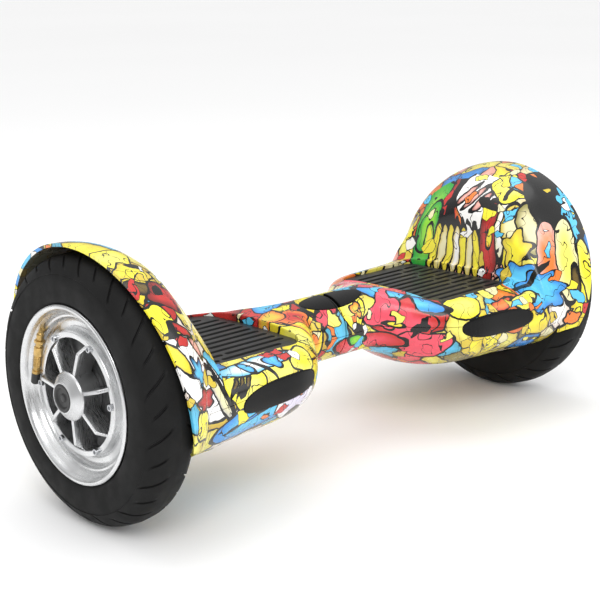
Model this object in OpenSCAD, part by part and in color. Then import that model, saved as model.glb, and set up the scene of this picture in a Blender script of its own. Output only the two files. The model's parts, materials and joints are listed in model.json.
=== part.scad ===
// Self balancing two-wheel board: two halves that twist against each other on one central tube,
// each half with a pneumatic hub-motor wheel, a foot pad, a lamp and its own electronics.
// Z is up, the ground is z = 0, the wheels' axle runs along X and the lamps face -Y.
// Every sub-part is drawn for the +X half (the rider's left); the -X half mirrors it.

/* [Wheels] */
// Outside diameter of the tyre
tyre_d = 255; // [252:1:258]
// Width of the tyre
tyre_w = 55; // [50:1:56]
// Distance from the middle of the board to the middle of a tyre
wheel_x = 290; // [289:0.5:292]
// Outside radius of the rim flanges
flange_r = 84; // [83:0.5:85]
// Number of spokes in a rim
spokes = 7; // [5:1:9]
// Thickness of a spoke
spoke_t = 3.6; // [3:0.2:5]

/* [Body] */
// Thickness of the plastic shells
wall = 3; // [2.5:0.1:3.2]
// Radius of the round waist between the two halves
waist_r = 34.5; // [34:0.5:36]
// Height of the joint line between top and bottom shells
parting_z = 103; // [100:1:105]
// Gap between the two halves
seam = 1.5; // [1:0.1:2]
// Tilt of the fender's outer edge, wider at the top
fender_tilt = 10; // [8:1:12]

/* [Foot pads] */
// Height of the standing surface
pad_z = 146; // [145:0.5:146.5]
// Half length of a pad, front to back
pad_y = 77; // [75:0.5:78]
// Inboard edge of a pad, from the middle of the board
pad_in = 93; // [92:0.5:95]
// Outboard edge of a pad, from the middle of the board
pad_out = 220; // [217:0.5:221]
// Number of grooves moulded in a pad
pad_grooves = 11; // [8:1:12]
// How far a pad sinks when it is stood on
pad_travel = 1.6; // [1:0.1:1.8]

/* [Lamps and windows] */
// Half length of a lamp lens
lens_l = 51; // [46:1:52]
// Half height of a lamp lens
lens_h = 12.7; // [11:0.1:13]
// Distance of a lens's middle from the middle of the board
lens_x = 159; // [157:1:161]
// Half length of the indicator windows' oval, measured from the seam
window_l = 43; // [38:1:44]
// Half width of the indicator windows' oval
window_w = 14; // [11:0.5:15]

/* [Central joint] */
// Outside radius of the central tube
tube_r = 15; // [15:0.5:15.5]
// Radial clearance of running fits
run = 0.05; // [0.03:0.01:0.08]
// How far the halves twist against each other, each way
twist = 12; // [8:1:13]

/* [Controls] */
// Distance of the charge socket and the power button from the middle of the board
port_x = 158; // [154:1:162]
// Radius of the power button
button_r = 7.6; // [7:0.1:8]
// Outside radius of the charge socket's mating barrel
socket_r = 8; // [7.5:0.1:8]

/* [Hidden] */

$fn = 64;
axle_z = tyre_d / 2;

// Body skin: rings of points at a few stations out from the middle of the board.
// Each station is [distance out, half depth, height above the axle, depth below it,
// drop of the widest line, squareness of the upper half, squareness of the lower half].
ring_points = 48;
body_stations = [
    [seam / 2, waist_r, waist_r, waist_r, 0, 2, 2],
    [44, waist_r, waist_r, waist_r, 0, 2, 2],
    [54, 41, 34.3, 36, 0.3, 2, 2],
    [64, 54, 33, 40, 1, 2.1, 2],
    [76, 70, 30.5, 46, 2.5, 2.4, 2],
    [88, 84, 27, 53, 4.5, 2.8, 2],
    [100, 95, 25.2, 59, 6, 3.2, 2.05],
    [114, 103, 24.6, 63, 6.5, 3.4, 2.1],
    [135, 108, 24.5, 66.5, 7, 3.6, 2.1],
    [170, 110.5, 24.5, 68.5, 7, 3.6, 2.1],
    [205, 114.5, 25, 68.8, 5, 3.4, 2.2]
];
lip_x = 223;
wall_stations = [
    [lip_x, 118, 27, 69, 3, 3, 2.3],
    [227, 118.4, 54, 69, 2, 1.7, 2.35],
    [229.5, 118.8, 88, 69, 1, 1.55, 2.4],
    [234, 119.2, 101, 69, 0, 1.55, 2.4],
    [241, 119.8, 110.5, 69, 0, 1.65, 2.4],
    [250, 120.8, 118.5, 69, 0, 1.8, 2.4],
    [256, 122.5, 122.5, 69, 0, 2, 2.4]
];
// The fender's shoulder, as [distance out, radius about the axle].
fender_profile = [
    [256, 122.5], [262, 126.6], [270, 131], [280, 134.8], [290, 137], [300, 138], [312, 138]
];
fender_drop = 100;
well_x = wall_stations[len(wall_stations) - 1][0];
fender_edge_x = 280;
fender_edge_z = 105;
body_end_z = 300;

// Rim and hub sections are [distance outboard of the tyre's middle, radius].
barrel_r = 73;
window_r = 52.5;
bolt_circle_r = 55.2;
bolts = 6;
bolt_start = -1;
spoke_start = 8.2;
hub_face = 35.5;
valve_w = 22;
valve_knee = [51, 46];
valve_end = [65.5, -3];
valve_slant = 43;
valve_run = norm(valve_end - valve_knee);

// Motor and axle
axle_r = 8.45;
shaft_r = 10;
bearing_r = 17.5;
bearing_w = 10;
axle_in_x = 233;
clamp_x = 234;
clamp_l = 17.5;
clamp_w = 44;
clamp_top_z = axle_z + 15.4;
clamp_sites = [[clamp_x + clamp_l / 2, 16]];
cover_w = -25;
can_r = 72.9;

// Inside of a half
deck_z = 124;
deck_t = 4;
bush_r = 17.5;
housing_r = 22.5;
housing_in = 12;
housing_out = 84;
key_x = 46;
key_w = 6;
key_l = 7;
key_slot_y = 7.9;
key_top = 21.5;
plate_z = 137.2;
mat_base_z = 141;
lens_y = -108;
lens_z = 119.5;
lens_droop = 2;
lamp_board_y = 9.2;
board_z = 107.9;
board_t = 1.7;
window_tilt = 20;
screw_sites = [[112, 58], [165, 66], [222, 68]];
top_screw_sites = [[128, 90], [214, 94]];
screw_seat_z = 92;
plunger_sites = [[132, 0], [188, 0]];
buffer_sites = [[112, 48], [205, 48]];
board_post_sites = [[108, 30], [218, 30]];
port_z = 118;
port_face_y = 110;
cap_hinge_y = 115;
cap_hinge_z = port_z + 15;
cap_pin_r = 1.2;
ear_z = port_z + 10;
ear_x = 7;
ear_t = 2;

// Places geometry drawn along Z so that it runs along X at axle height.
module on_axle(x = 0) {
    translate([x, 0, axle_z]) rotate([0, 90, 0]) children();
}

// Places a part of the other half.
module mirrored() {
    mirror([1, 0, 0]) children();
}

// Copies children to the front and the back at each [x, y] site.
module at_sites(sites) {
    for (s = sites)
        for (y = s[1] == 0 ? [0] : [-s[1], s[1]])
            translate([s[0], y, 0]) children();
}

// Copies children round the wheel's axis, starting at an angle above the rear horizontal.
module round_wheel(count, start) {
    for (i = [0 : count - 1])
        translate([wheel_x, 0, axle_z])
            rotate([start + i * 360 / count, 0, 0]) children();
}

function signed_power(v, p) = sign(v) * pow(abs(v), p);

// One ring of the skin, pulled inwards by an inset.
function ring(s, inset = 0) = [
    for (i = [0 : ring_points - 1])
        let (
            c = cos(360 * i / ring_points),
            q = sin(360 * i / ring_points),
            above = s[2] + s[4] - inset,
            below = s[3] - s[4] - inset,
            p = 2 / (q >= 0 ? s[5] : s[6])
        )
        [s[0],
         (s[1] - inset) * signed_power(c, p),
         axle_z - s[4] + (q >= 0 ? above : below) * signed_power(q, p)]
];

// Stations moved outwards, for the inside of a wall that faces the middle of the board.
function shifted(stations, dx) = [for (s = stations) concat([s[0] + dx], [for (k = [1 : 6]) s[k]])];

// The fender's stations: round above the axle, deeper below it so that the skirts reach down.
function fender_stations() = [for (f = fender_profile) [f[0], f[1], f[1], fender_drop, 0, 2, 2]];

// A skin stretched over rings, as a chain of convex slices.
module loft(rings) {
    n = ring_points;
    for (i = [0 : len(rings) - 2])
        hull() polyhedron(
            points = concat(rings[i], rings[i + 1]),
            faces = concat(
                [[for (k = [n - 1 : -1 : 0]) k], [for (k = [n : 2 * n - 1]) k]],
                [for (k = [0 : n - 1]) [k, (k + 1) % n, n + (k + 1) % n, n + k]]
            )
        );
}

// Cuts away whatever lies outboard of the fender's slanted edge.
module outside_fender() {
    translate([fender_edge_x, -body_end_z / 2, fender_edge_z])
        rotate([0, fender_tilt, 0])
            translate([0, 0, -body_end_z]) cube([80, body_end_z, 2 * body_end_z]);
}

// The space that the wheel turns in.
module wheel_well() {
    last = len(fender_profile) - 1;
    on_axle() rotate_extrude($fn = 96) polygon(concat(
        [[0, well_x]],
        [for (f = fender_profile) [f[1] - wall - 0.2, f[0]]],
        [[fender_profile[last][1] - wall - 0.2, well_x + 80], [0, well_x + 80]]
    ));
}

module body_outside() {
    loft([for (s = concat(body_stations, wall_stations)) ring(s)]);
}

module fender_outside() {
    loft([for (s = fender_stations()) ring(s)]);
}

module body_inside() {
    middle = [concat([seam / 2 - 1], [for (k = [1 : 6]) body_stations[0][k]])];
    stations = concat(middle, body_stations, shifted(wall_stations, wall));
    loft([for (s = stations) if (s[0] < well_x) ring(s, wall)]);
}

// The hollow body of a half, before it is parted into two shells.
module body_skin() {
    difference() {
        body_outside();
        body_inside();
    }
}

// The wheel's fender with its skirts.
module fender_skin() {
    difference() {
        fender_outside();
        wheel_well();
        outside_fender();
    }
}

// Region of the bottom shell.
module bottom_region() {
    translate([0, -body_end_z / 2, 0]) cube([well_x, body_end_z, parting_z]);
}

// Arc as a list of points.
function arc(cx, cy, r, a0, a1, steps = 6) = [
    for (i = [0 : steps])
        let (a = a0 + (a1 - a0) * i / steps) [cx + r * cos(a), cy + r * sin(a)]
];

// Foot pad outline, grown outwards by an amount: round inboard corners, a slightly bowed inboard edge.
function pad_outline(grow = 0) =
    let (
        in_r = 24, out_r = 9,
        front = arc(pad_in + in_r + 2, -(pad_y - in_r), in_r + grow, 180, 270),
        out_front = arc(pad_out - out_r, -(pad_y - out_r), out_r + grow, 270, 360, 4),
        out_back = arc(pad_out - out_r, pad_y - out_r, out_r + grow, 0, 90, 4),
        back = arc(pad_in + in_r + 2, pad_y - in_r, in_r + grow, 90, 180)
    )
    concat(front, out_front, out_back, back, [[pad_in - grow, 16], [pad_in - grow, -16]]);

module pad_column(z0, z1, grow = 0) {
    translate([0, 0, z0]) linear_extrude(z1 - z0) polygon(pad_outline(grow));
}

// Lamp lens outline as a rounded leaf that droops outboard, drawn in X and height.
function lens_outline(grow = 0) = [
    for (i = [0 : 35])
        let (c = cos(i * 10), q = sin(i * 10))
        [lens_x + (lens_l + grow) * signed_power(c, 0.8),
         lens_z + (lens_h + grow) * signed_power(q, 0.8) - lens_droop * c]
];

module lens_column(y0, y1, grow = 0) {
    translate([0, y1, 0]) rotate([90, 0, 0]) linear_extrude(y1 - y0) polygon(lens_outline(grow));
}

// Oval column that stands on the waist, leaning forward.
module window_column(r0, r1, grow = 0) {
    translate([0, 0, axle_z]) rotate([window_tilt, 0, 0]) translate([0, 0, r0])
        linear_extrude(r1 - r0) polygon([
            for (i = [0 : 35]) [(window_l + grow) * cos(i * 10), (window_w + grow) * sin(i * 10)]
        ]);
}

// Round hole or boss that runs front to back at the port position.
module port_cylinder(r, y0, y1) {
    translate([port_x, y1, port_z]) rotate([90, 0, 0]) cylinder(r = r, h = y1 - y0);
}

/* Body shells */

module top_shell(port_hole_r) {
    color("gold") difference() {
        union() {
            difference() {
                body_skin();
                bottom_region();
            }
            fender_skin();
            // Screw posts down to the deck
            intersection() {
                translate([0, 0, deck_z + deck_t + 0.1])
                    at_sites(top_screw_sites) cylinder(r = 5, h = 40, $fn = 24);
                body_outside();
            }
            // Collar that frames the foot pad
            intersection() {
                difference() {
                    pad_column(plate_z + 2, 160, 1 + wall);
                    pad_column(plate_z, 161, 1);
                }
                body_outside();
            }
        }
        translate([0, 0, deck_z]) at_sites(top_screw_sites) cylinder(r = 2.05, h = 15, $fn = 24);
        pad_column(plate_z, 200, 1);
        lens_column(-140, -80, 0.3);
        window_column(20, 50, 0.3);
        port_cylinder(port_hole_r, 80, 140);
        // Slot that lets the shell drop over the axle
        on_axle(well_x - 2 * wall) cylinder(r = shaft_r + 1, h = 3 * wall);
        translate([well_x - 2 * wall, -shaft_r - 1, parting_z - 1])
            cube([3 * wall, 2 * shaft_r + 2, axle_z - parting_z + 1]);
    }
}

module bottom_shell() {
    color("gold") difference() {
        union() {
            intersection() {
                body_skin();
                bottom_region();
            }
            // Screw posts up to the deck
            intersection() {
                at_sites(screw_sites) cylinder(r = 6, h = deck_z - 0.1, $fn = 24);
                body_outside();
            }
        }
        // Sunk screw holes from below
        at_sites(screw_sites) cylinder(r = 2.3, h = deck_z + 1, $fn = 24);
        at_sites(screw_sites) cylinder(r = 4.4, h = screw_seat_z, $fn = 24);
        // Cooling slots under the electronics
        for (i = [0 : 5])
            translate([140 + 10 * i, -14, 0]) cube([4, 28, 70]);
    }
}

module shell_screws() {
    color("dimgray") {
        at_sites(screw_sites) {
            translate([0, 0, screw_seat_z - 3.4]) cylinder(r = 4, h = 3.4);
            translate([0, 0, screw_seat_z - 1]) cylinder(r = 2, h = deck_z + deck_t - screw_seat_z + 1);
        }
        // Short screws up into the top shell's posts
        at_sites(top_screw_sites) {
            translate([0, 0, deck_z - 3]) cylinder(r = 4, h = 3);
            translate([0, 0, deck_z - 1]) cylinder(r = 2, h = deck_t + 11);
        }
    }
}

/* Frame */

module chassis(bore_r, has_board, has_key_slot) {
    deck = [
        [62, -20], [84, -40], [100, -78], [120, -94], [250, -99],
        [250, 99], [120, 94], [100, 78], [84, 40], [62, 20]
    ];
    lamp_tab_y = lens_y + lamp_board_y + 1.6;
    rail_y = 45;
    rail_z = 98;
    rail_t = 4;
    rib_z = 106;
    rib_l = 45;
    block_z = 108;
    color("silver") difference() {
        union() {
            translate([0, 0, deck_z]) linear_extrude(deck_t) polygon(deck);
            on_axle(housing_in) cylinder(r = housing_r, h = housing_out - housing_in);
            // Ribs from the pivot housing to the deck
            for (y = [-14, 10])
                translate([58, y, rib_z]) cube([rib_l, rail_t, deck_z - rib_z + 1]);
            // Tabs that the lamp's board is fixed to
            for (x = [lens_x - 30, lens_x + 20])
                translate([x, lamp_tab_y, deck_z]) cube([10, 12, deck_t]);
            // Side rails
            for (y = [-rail_y - rail_t, rail_y])
                translate([98, y, rail_z]) cube([152, rail_t, deck_z - rail_z + 1]);
            // Axle block and its web
            translate([clamp_x, -clamp_w / 2, block_z]) cube([clamp_l, clamp_w, axle_z - block_z]);
            translate([clamp_x, -rail_y - rail_t, rail_z])
                cube([5, 2 * (rail_y + rail_t), deck_z - rail_z + 1]);
            if (has_board)
                at_sites(board_post_sites)
                    translate([0, 0, board_z + board_t]) cylinder(r = 3.5, h = deck_z - board_z);
        }
        on_axle(housing_in - 1) cylinder(r = bore_r, h = 130 - housing_in);
        on_axle(clamp_x - 1) cylinder(r = axle_r, h = clamp_l + 2);
        // Room for the deck to clear the tube's end
        on_axle(housing_out) cylinder(r = bush_r + 1.5, h = 34);
        at_sites(concat(screw_sites, top_screw_sites))
            translate([0, 0, deck_z - 1]) cylinder(r = 2.05, h = deck_t + 2);
        at_sites(plunger_sites) translate([0, 0, deck_z - 1]) cylinder(r = 7, h = deck_t + 2);
        at_sites(clamp_sites) translate([0, 0, 110]) cylinder(r = 2.55, h = 30);
        if (has_key_slot)
            translate([key_x - key_l / 2 - 1, -key_slot_y, axle_z + 8])
                cube([key_l + 2, 2 * key_slot_y, 20]);
    }
}

module axle_clamp() {
    base_z = max(axle_z + 0.4, deck_z + deck_t + 0.2);
    color("gainsboro") difference() {
        translate([clamp_x, -clamp_w / 2, base_z]) cube([clamp_l, clamp_w, clamp_top_z - base_z]);
        on_axle(clamp_x - 1) cylinder(r = axle_r, h = clamp_l + 2);
        at_sites(clamp_sites) translate([0, 0, 110]) cylinder(r = 2.8, h = 40);
    }
}

module clamp_screws() {
    tip_z = 112;
    color("dimgray") at_sites(clamp_sites) {
        translate([0, 0, tip_z]) cylinder(r = 2.5, h = clamp_top_z + 0.1 - tip_z);
        translate([0, 0, clamp_top_z]) difference() {
            cylinder(r = 4.2, h = 5);
            translate([0, 0, 2]) cylinder(r = 2.3, h = 4, $fn = 6);
        }
    }
}

module axle() {
    color("lightslategray") difference() {
        union() {
            on_axle(axle_in_x) cylinder(r = axle_r, h = wheel_x + 14 - axle_in_x);
            on_axle(wheel_x + cover_w + 5) cylinder(r = shaft_r, h = 14.6);
        }
        on_axle(axle_in_x - 1) cylinder(r = 4, h = wheel_x + cover_w + 6 - axle_in_x);
    }
}

/* Wheel */

module tyre() {
    h = tyre_w / 2;
    r = tyre_d / 2;
    half = [
        [0, r], [0.4 * h, r - 1.2], [0.62 * h, r - 3.6], [0.8 * h, r - 8], [0.93 * h, r - 14],
        [h, r - 22], [0.985 * h, r - 32], [0.92 * h, flange_r + 1.6], [23.6, flange_r + 0.4],
        [22.6, barrel_r + 5.3], [16.5, barrel_r + 5.3], [16.5, barrel_r + 9],
        [20.5, barrel_r + 14], [23.5, r - 30], [23.3, r - 22], [20.5, r - 13], [14, r - 7.5], [0, r - 5.6]
    ];
    other = [for (i = [len(half) - 2 : -1 : 1]) [-half[i][0], half[i][1]]];
    color([0.1, 0.1, 0.1]) on_axle(wheel_x) rotate_extrude()
        polygon([for (p = concat(half, other)) [p[1], p[0]]]);
}

module inner_tube() {
    outer = 20.6;
    mid_r = 100.6;
    color([0.16, 0.16, 0.17]) on_axle(wheel_x) rotate_extrude() translate([mid_r, 0]) difference() {
        circle(r = outer);
        circle(r = outer - 1.6);
    }
}

module rim() {
    w = 27;
    outline = [
        [barrel_r + 4.8, 22.8], [flange_r - 1, 23.8], [flange_r, 24.8], [flange_r - 0.3, w - 0.8],
        [flange_r - 1.6, w], [flange_r - 3.6, w - 0.2], [flange_r - 5.4, w - 2],
        [77, 21.5], [74.6, 18.6], [72.9, 15.6], [70.8, 15.2], [69.2, 11.8], [66, 9.9],
        [61, 9.9], [59.2, 12.5], [58.6, 19.2], [57.8, 20.2], [window_r + 0.6, 20.2], [window_r, 19.6],
        [window_r, 6], [barrel_r, 6], [barrel_r, -26.5], [flange_r, -26.5],
        [flange_r, -24.6], [flange_r - 1, -23.8], [barrel_r + 4.8, -22.8]
    ];
    color("gainsboro") difference() {
        union() {
            on_axle(wheel_x) rotate_extrude() polygon(outline);
            // Hub boss: a barrel that necks down to the cap
            on_axle(wheel_x) rotate_extrude() polygon([
                [13.2, 8], [23, 8], [23, 27.7], [22, 29.6], [16.6, 33.4], [14.8, 34.8],
                [14.2, hub_face], [13.2, hub_face]
            ]);
            round_wheel(spokes, spoke_start)
                linear_extrude(spoke_t, center = true) polygon([
                    [9, 22], [9, window_r + 0.2], [18.4, window_r + 0.2], [27.6, 46], [27.6, 22]
                ]);
        }
        valve_foot(3.2, 20);
        round_wheel(bolts, bolt_start)
            translate([5, bolt_circle_r, 0]) rotate([0, 90, 0]) cylinder(r = 2.2, h = 20);
    }
}

// The valve's slanted foot, or the hole for it, from the knee through the barrel.
module valve_foot(r, h) {
    knee_r = norm(valve_knee);
    translate([wheel_x + valve_w, 0, axle_z])
        rotate([atan2(valve_knee[1], valve_knee[0]) - 90, 0, 0])
            translate([0, 0, knee_r]) rotate([0, -valve_slant, 0]) cylinder(r = r, h = h);
}

// Places geometry drawn along Z so that it runs along the valve's stem from its knee.
module on_valve() {
    stem = valve_end - valve_knee;
    translate([wheel_x + valve_w, valve_knee[0], axle_z + valve_knee[1]])
        rotate([atan2(stem[1], stem[0]) - 90, 0, 0]) children();
}

module wheel_bolts() {
    color("gray") round_wheel(bolts, bolt_start)
    translate([0, bolt_circle_r, 0]) rotate([0, 90, 0]) difference() {
        union() {
            translate([0, 0, 1.5]) cylinder(r = 2, h = 19);
            translate([0, 0, 20.3]) cylinder(r = 3.1, h = 3.2);
        }
        translate([0, 0, 21.6]) cylinder(r = 1.7, h = 4, $fn = 6);
    }
}

module valve_stem() {
    color("goldenrod") {
        valve_foot(3, 17.6);
        on_valve() {
            sphere(r = 3.7);
            cylinder(r = 3.3, h = valve_run - 7);
            translate([0, 0, 5]) cylinder(r = 5.2, h = 3, $fn = 6);
            translate([0, 0, 12]) cylinder(r = 4.6, h = 9, $fn = 6);
            translate([0, 0, valve_run - 14]) cylinder(r = 4.2, h = 3);
        }
    }
}

module valve_cap() {
    color([0.1, 0.1, 0.1]) on_valve() difference() {
        translate([0, 0, valve_run - 10.9]) cylinder(r = 4.2, h = 10.9);
        translate([0, 0, valve_run - 12]) cylinder(r = 3.4, h = 6);
    }
}

module motor_housing() {
    color([0.13, 0.13, 0.14]) difference() {
        on_axle(wheel_x) rotate_extrude() polygon([
            [bearing_r, -5], [bearing_r + 4, -5], [bearing_r + 4, 2], [can_r - 3.6, 2],
            [can_r - 3.6, cover_w + 4.1], [can_r, cover_w + 4.1],
            [can_r, 5.9], [window_r - 1, 5.9], [window_r - 2, 6.8], [30, 7.4],
            [28, 7.9], [bearing_r - 5, 7.9], [bearing_r - 5, 5.1], [bearing_r, 5.1]
        ]);
        round_wheel(bolts, bolt_start)
            translate([1, bolt_circle_r, 0]) rotate([0, 90, 0]) cylinder(r = 2.05, h = 8);
    }
}

module motor_cover() {
    color([0.2, 0.2, 0.21]) difference() {
        on_axle(wheel_x) rotate_extrude() polygon([
            [bearing_r, cover_w - 6], [bearing_r + 4, cover_w - 6], [bearing_r + 5, cover_w - 1],
            [can_r, cover_w], [can_r, cover_w + 4], [bearing_r + 4, cover_w + 4],
            [bearing_r + 4, cover_w + 4.1], [bearing_r, cover_w + 4.1]
        ]);
        round_wheel(bolts, bolt_start + 30)
            translate([cover_w - 1, can_r - 6, 0]) rotate([0, 90, 0]) cylinder(r = 2.6, h = 2.5);
    }
}

module wheel_bearings() {
    color("silver") for (w = [-bearing_w / 2, cover_w - 6])
        on_axle(wheel_x + w) difference() {
            cylinder(r = bearing_r, h = bearing_w);
            translate([0, 0, -1]) cylinder(r = axle_r + run, h = bearing_w + 2);
            for (z = [-1, bearing_w - 1])
                translate([0, 0, z]) difference() {
                    cylinder(r = bearing_r - 3, h = 2);
                    translate([0, 0, -1]) cylinder(r = axle_r + 3, h = 4);
                }
        }
}

module stator() {
    slots = 18;
    color("peru") difference() {
        on_axle(wheel_x) translate([0, 0, cover_w + 6.5]) cylinder(r = 64.6, h = 13);
        on_axle(wheel_x) translate([0, 0, cover_w + 6]) cylinder(r = shaft_r, h = 15);
        for (i = [0 : slots - 1])
            translate([wheel_x + cover_w + 5, 0, axle_z]) rotate([i * 360 / slots, 0, 0])
                translate([0, -2, 44]) cube([16, 4, 30]);
        for (i = [0 : 5])
            translate([wheel_x + cover_w + 5, 0, axle_z]) rotate([i * 60, 0, 0])
                translate([0, 26, 0]) rotate([0, 90, 0]) cylinder(r = 8, h = 16);
    }
}

module magnet_ring() {
    color("darkslategray") on_axle(wheel_x) translate([0, 0, cover_w + 5]) difference() {
        cylinder(r = can_r - 3.6, h = 17);
        translate([0, 0, -1]) cylinder(r = 65.4, h = 19);
    }
}

module hub_cap() {
    color([0.12, 0.12, 0.13]) on_axle(wheel_x) rotate_extrude() polygon([
        [0, 30], [13.2, 30], [13.2, hub_face - 0.6], [12.2, hub_face + 0.3], [10, hub_face + 0.2],
        [8.8, hub_face - 1.4], [4.2, hub_face - 1.8], [3.2, hub_face - 0.6], [0, hub_face - 0.4]
    ]);
}

/* Foot pads */

module foot_mat() {
    pitch = (2 * pad_y - 20) / pad_grooves;
    groove_w = 5;
    groove_d = 2;
    color([0.15, 0.15, 0.15]) difference() {
        pad_column(mat_base_z, pad_z);
        for (i = [0 : pad_grooves - 1]) {
            y = -pad_y + 10 + pitch * (i + 0.5);
            edge = abs(y) > pad_y - 26 ? 14 : 0;
            x0 = pad_in + 11 + edge;
            x1 = pad_out - 8;
            stop = x1 - 26 - 14 * (i % 2);
            for (span = [[x0, stop], [stop + 9, x1]])
                translate([0, y, pad_z - groove_d]) {
                    translate([span[0], -groove_w / 2, 0]) cube([span[1] - span[0], groove_w, 5]);
                    for (x = span) translate([x, 0, 0]) cylinder(r = groove_w / 2, h = 5);
                }
        }
    }
}

module pedal_plate() {
    color([0.3, 0.3, 0.32]) difference() {
        pad_column(plate_z, mat_base_z, -3);
        for (i = [0 : 3])
            translate([126 + 20 * i, 14, plate_z - 1]) cube([12, 46, 2.5]);
        for (i = [0 : 3])
            translate([126 + 20 * i, -60, plate_z - 1]) cube([12, 46, 2.5]);
    }
}

module plungers() {
    buffer_gap = pad_travel + 0.4;
    color([0.12, 0.12, 0.12]) {
        at_sites(plunger_sites) {
            translate([0, 0, plate_z - 2]) cylinder(r = 5.5, h = 2);
            translate([0, 0, deck_z + deck_t - 1]) cylinder(r = 3.5, h = plate_z - deck_z - deck_t);
        }
        at_sites(buffer_sites)
            translate([0, 0, deck_z + deck_t + buffer_gap])
                cylinder(r = 6, h = plate_z - deck_z - deck_t - buffer_gap);
    }
}

module sensor_board() {
    base_z = deck_z + deck_t + 1.4;
    top_z = base_z + 1.5;
    color("seagreen") {
        difference() {
            translate([116, -18, base_z]) cube([92, 36, 1.6]);
            at_sites(plunger_sites) translate([0, 0, base_z - 1]) cylinder(r = 5, h = 4);
        }
        for (s = plunger_sites)
            for (y = [-10, 6])
                translate([s[0] - 4, y, top_z]) cube([8, 4, 3]);
        translate([155, -6, top_z]) cube([10, 10, 1.4]);
        // Stand-offs
        at_sites([[120, 15], [204, 15]]) translate([0, 0, deck_z + deck_t]) cylinder(r = 2, h = 1.5);
    }
}

/* Lamps */

module headlight_lens() {
    stations = [for (s = concat(body_stations, wall_stations)) if (s[0] > 85 && s[0] < 226) s];
    color([0.08, 0.08, 0.1]) intersection() {
        lens_column(-140, -80);
        difference() {
            loft([for (s = stations) ring(s, -0.4)]);
            loft([for (s = stations) ring(s, wall + 0.6)]);
        }
    }
}

module led_board() {
    lamp_pitch = 11;
    color("white") {
        translate([lens_x - 38, lens_y + lamp_board_y, axle_z - 13]) cube([76, 1.6, 13]);
        for (i = [-3 : 3])
            translate([lens_x - 2.5 + lamp_pitch * i, lens_y + lamp_board_y - 1.8, axle_z - 10.5])
                cube([5, 1.9, 5]);
    }
}

module indicator_window() {
    color([0.06, 0.06, 0.07]) intersection() {
        on_axle(seam / 2 + 2.5) difference() {
            cylinder(r = waist_r + 0.3, h = window_l);
            translate([0, 0, -1]) cylinder(r = waist_r - wall, h = window_l + 2);
        }
        window_column(20, 50);
    }
}

/* Parts that the two halves share */

module pivot_tube() {
    color("lightsteelblue") difference() {
        union() {
            on_axle(-housing_out) cylinder(r = tube_r, h = 2 * housing_out + 3);
            // Rolled collar that keeps the left half on
            on_axle(housing_out + 0.4) cylinder(r = tube_r + 2.2, h = 2.6);
            // Key that limits the twist
            translate([key_x - key_l / 2, -key_w / 2, axle_z + tube_r - 2])
                cube([key_l, key_w, key_top - tube_r + 2]);
        }
        on_axle(-housing_out - 1) cylinder(r = tube_r - 3.5, h = 2 * housing_out + 6);
    }
}

module pivot_bushes() {
    color("ivory") for (x = [housing_in, housing_out - 16]) on_axle(x) difference() {
        union() {
            cylinder(r = bush_r, h = 16);
            if (x == housing_in) translate([0, 0, -2]) cylinder(r = bush_r + 2.5, h = 2);
        }
        translate([0, 0, -3]) cylinder(r = tube_r + run, h = 20);
    }
}

module battery_pack() {
    l = 118;
    w = 76;
    h = 48;
    round_r = 4;
    color("royalblue") translate([113, 0, deck_z - h]) {
        translate([0, -w / 2 + round_r, 0]) cube([l, w - 2 * round_r, h]);
        translate([0, -w / 2, round_r]) cube([l, w, h - 2 * round_r]);
        for (y = [-w / 2 + round_r, w / 2 - round_r])
            for (z = [round_r, h - round_r])
                translate([0, y, z]) rotate([0, 90, 0]) cylinder(r = round_r, h = l);
    }
}

module main_board() {
    top_z = board_z + board_t - 0.1;
    fin_z = 84;
    fin_pitch = 8;
    sink_z = board_z - 4.9;
    color("darkgreen") {
        translate([104, -38, board_z]) cube([118, 76, board_t]);
        // Capacitors and connectors
        for (x = [120, 138])
            translate([x, -24, top_z]) cylinder(r = 7, h = 12);
        for (i = [0 : 3])
            translate([152 + 14 * i, -34, top_z]) cube([10, 12, 8]);
        translate([150, 8, top_z]) cube([50, 18, 5]);
        // Heat sink with its fins
        translate([118, -34, sink_z]) cube([92, 68, 5]);
        for (i = [0 : 8])
            translate([118, -34 + fin_pitch * i, fin_z]) cube([92, 4, sink_z - fin_z + 0.5]);
    }
}

module harness() {
    cable_r = 4;
    half_l = 100;
    color([0.9, 0.75, 0.1]) {
        on_axle(-half_l) cylinder(r = cable_r, h = 2 * half_l);
        for (x = [-112, 92])
            translate([x, -7, axle_z - 5.5]) cube([20, 14, 9]);
    }
}

/* Controls on the rear faces */

module power_button() {
    color("silver") difference() {
        port_cylinder(button_r, port_face_y - 6, port_face_y + 2);
        port_cylinder(button_r - 2.5, port_face_y + 1.4, port_face_y + 3);
    }
}

// Places geometry drawn along Z so that it runs along the cap's hinge, from x beside the port.
module on_cap_hinge(x) {
    translate([port_x + x, cap_hinge_y, cap_hinge_z]) rotate([0, 90, 0]) children();
}

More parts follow.
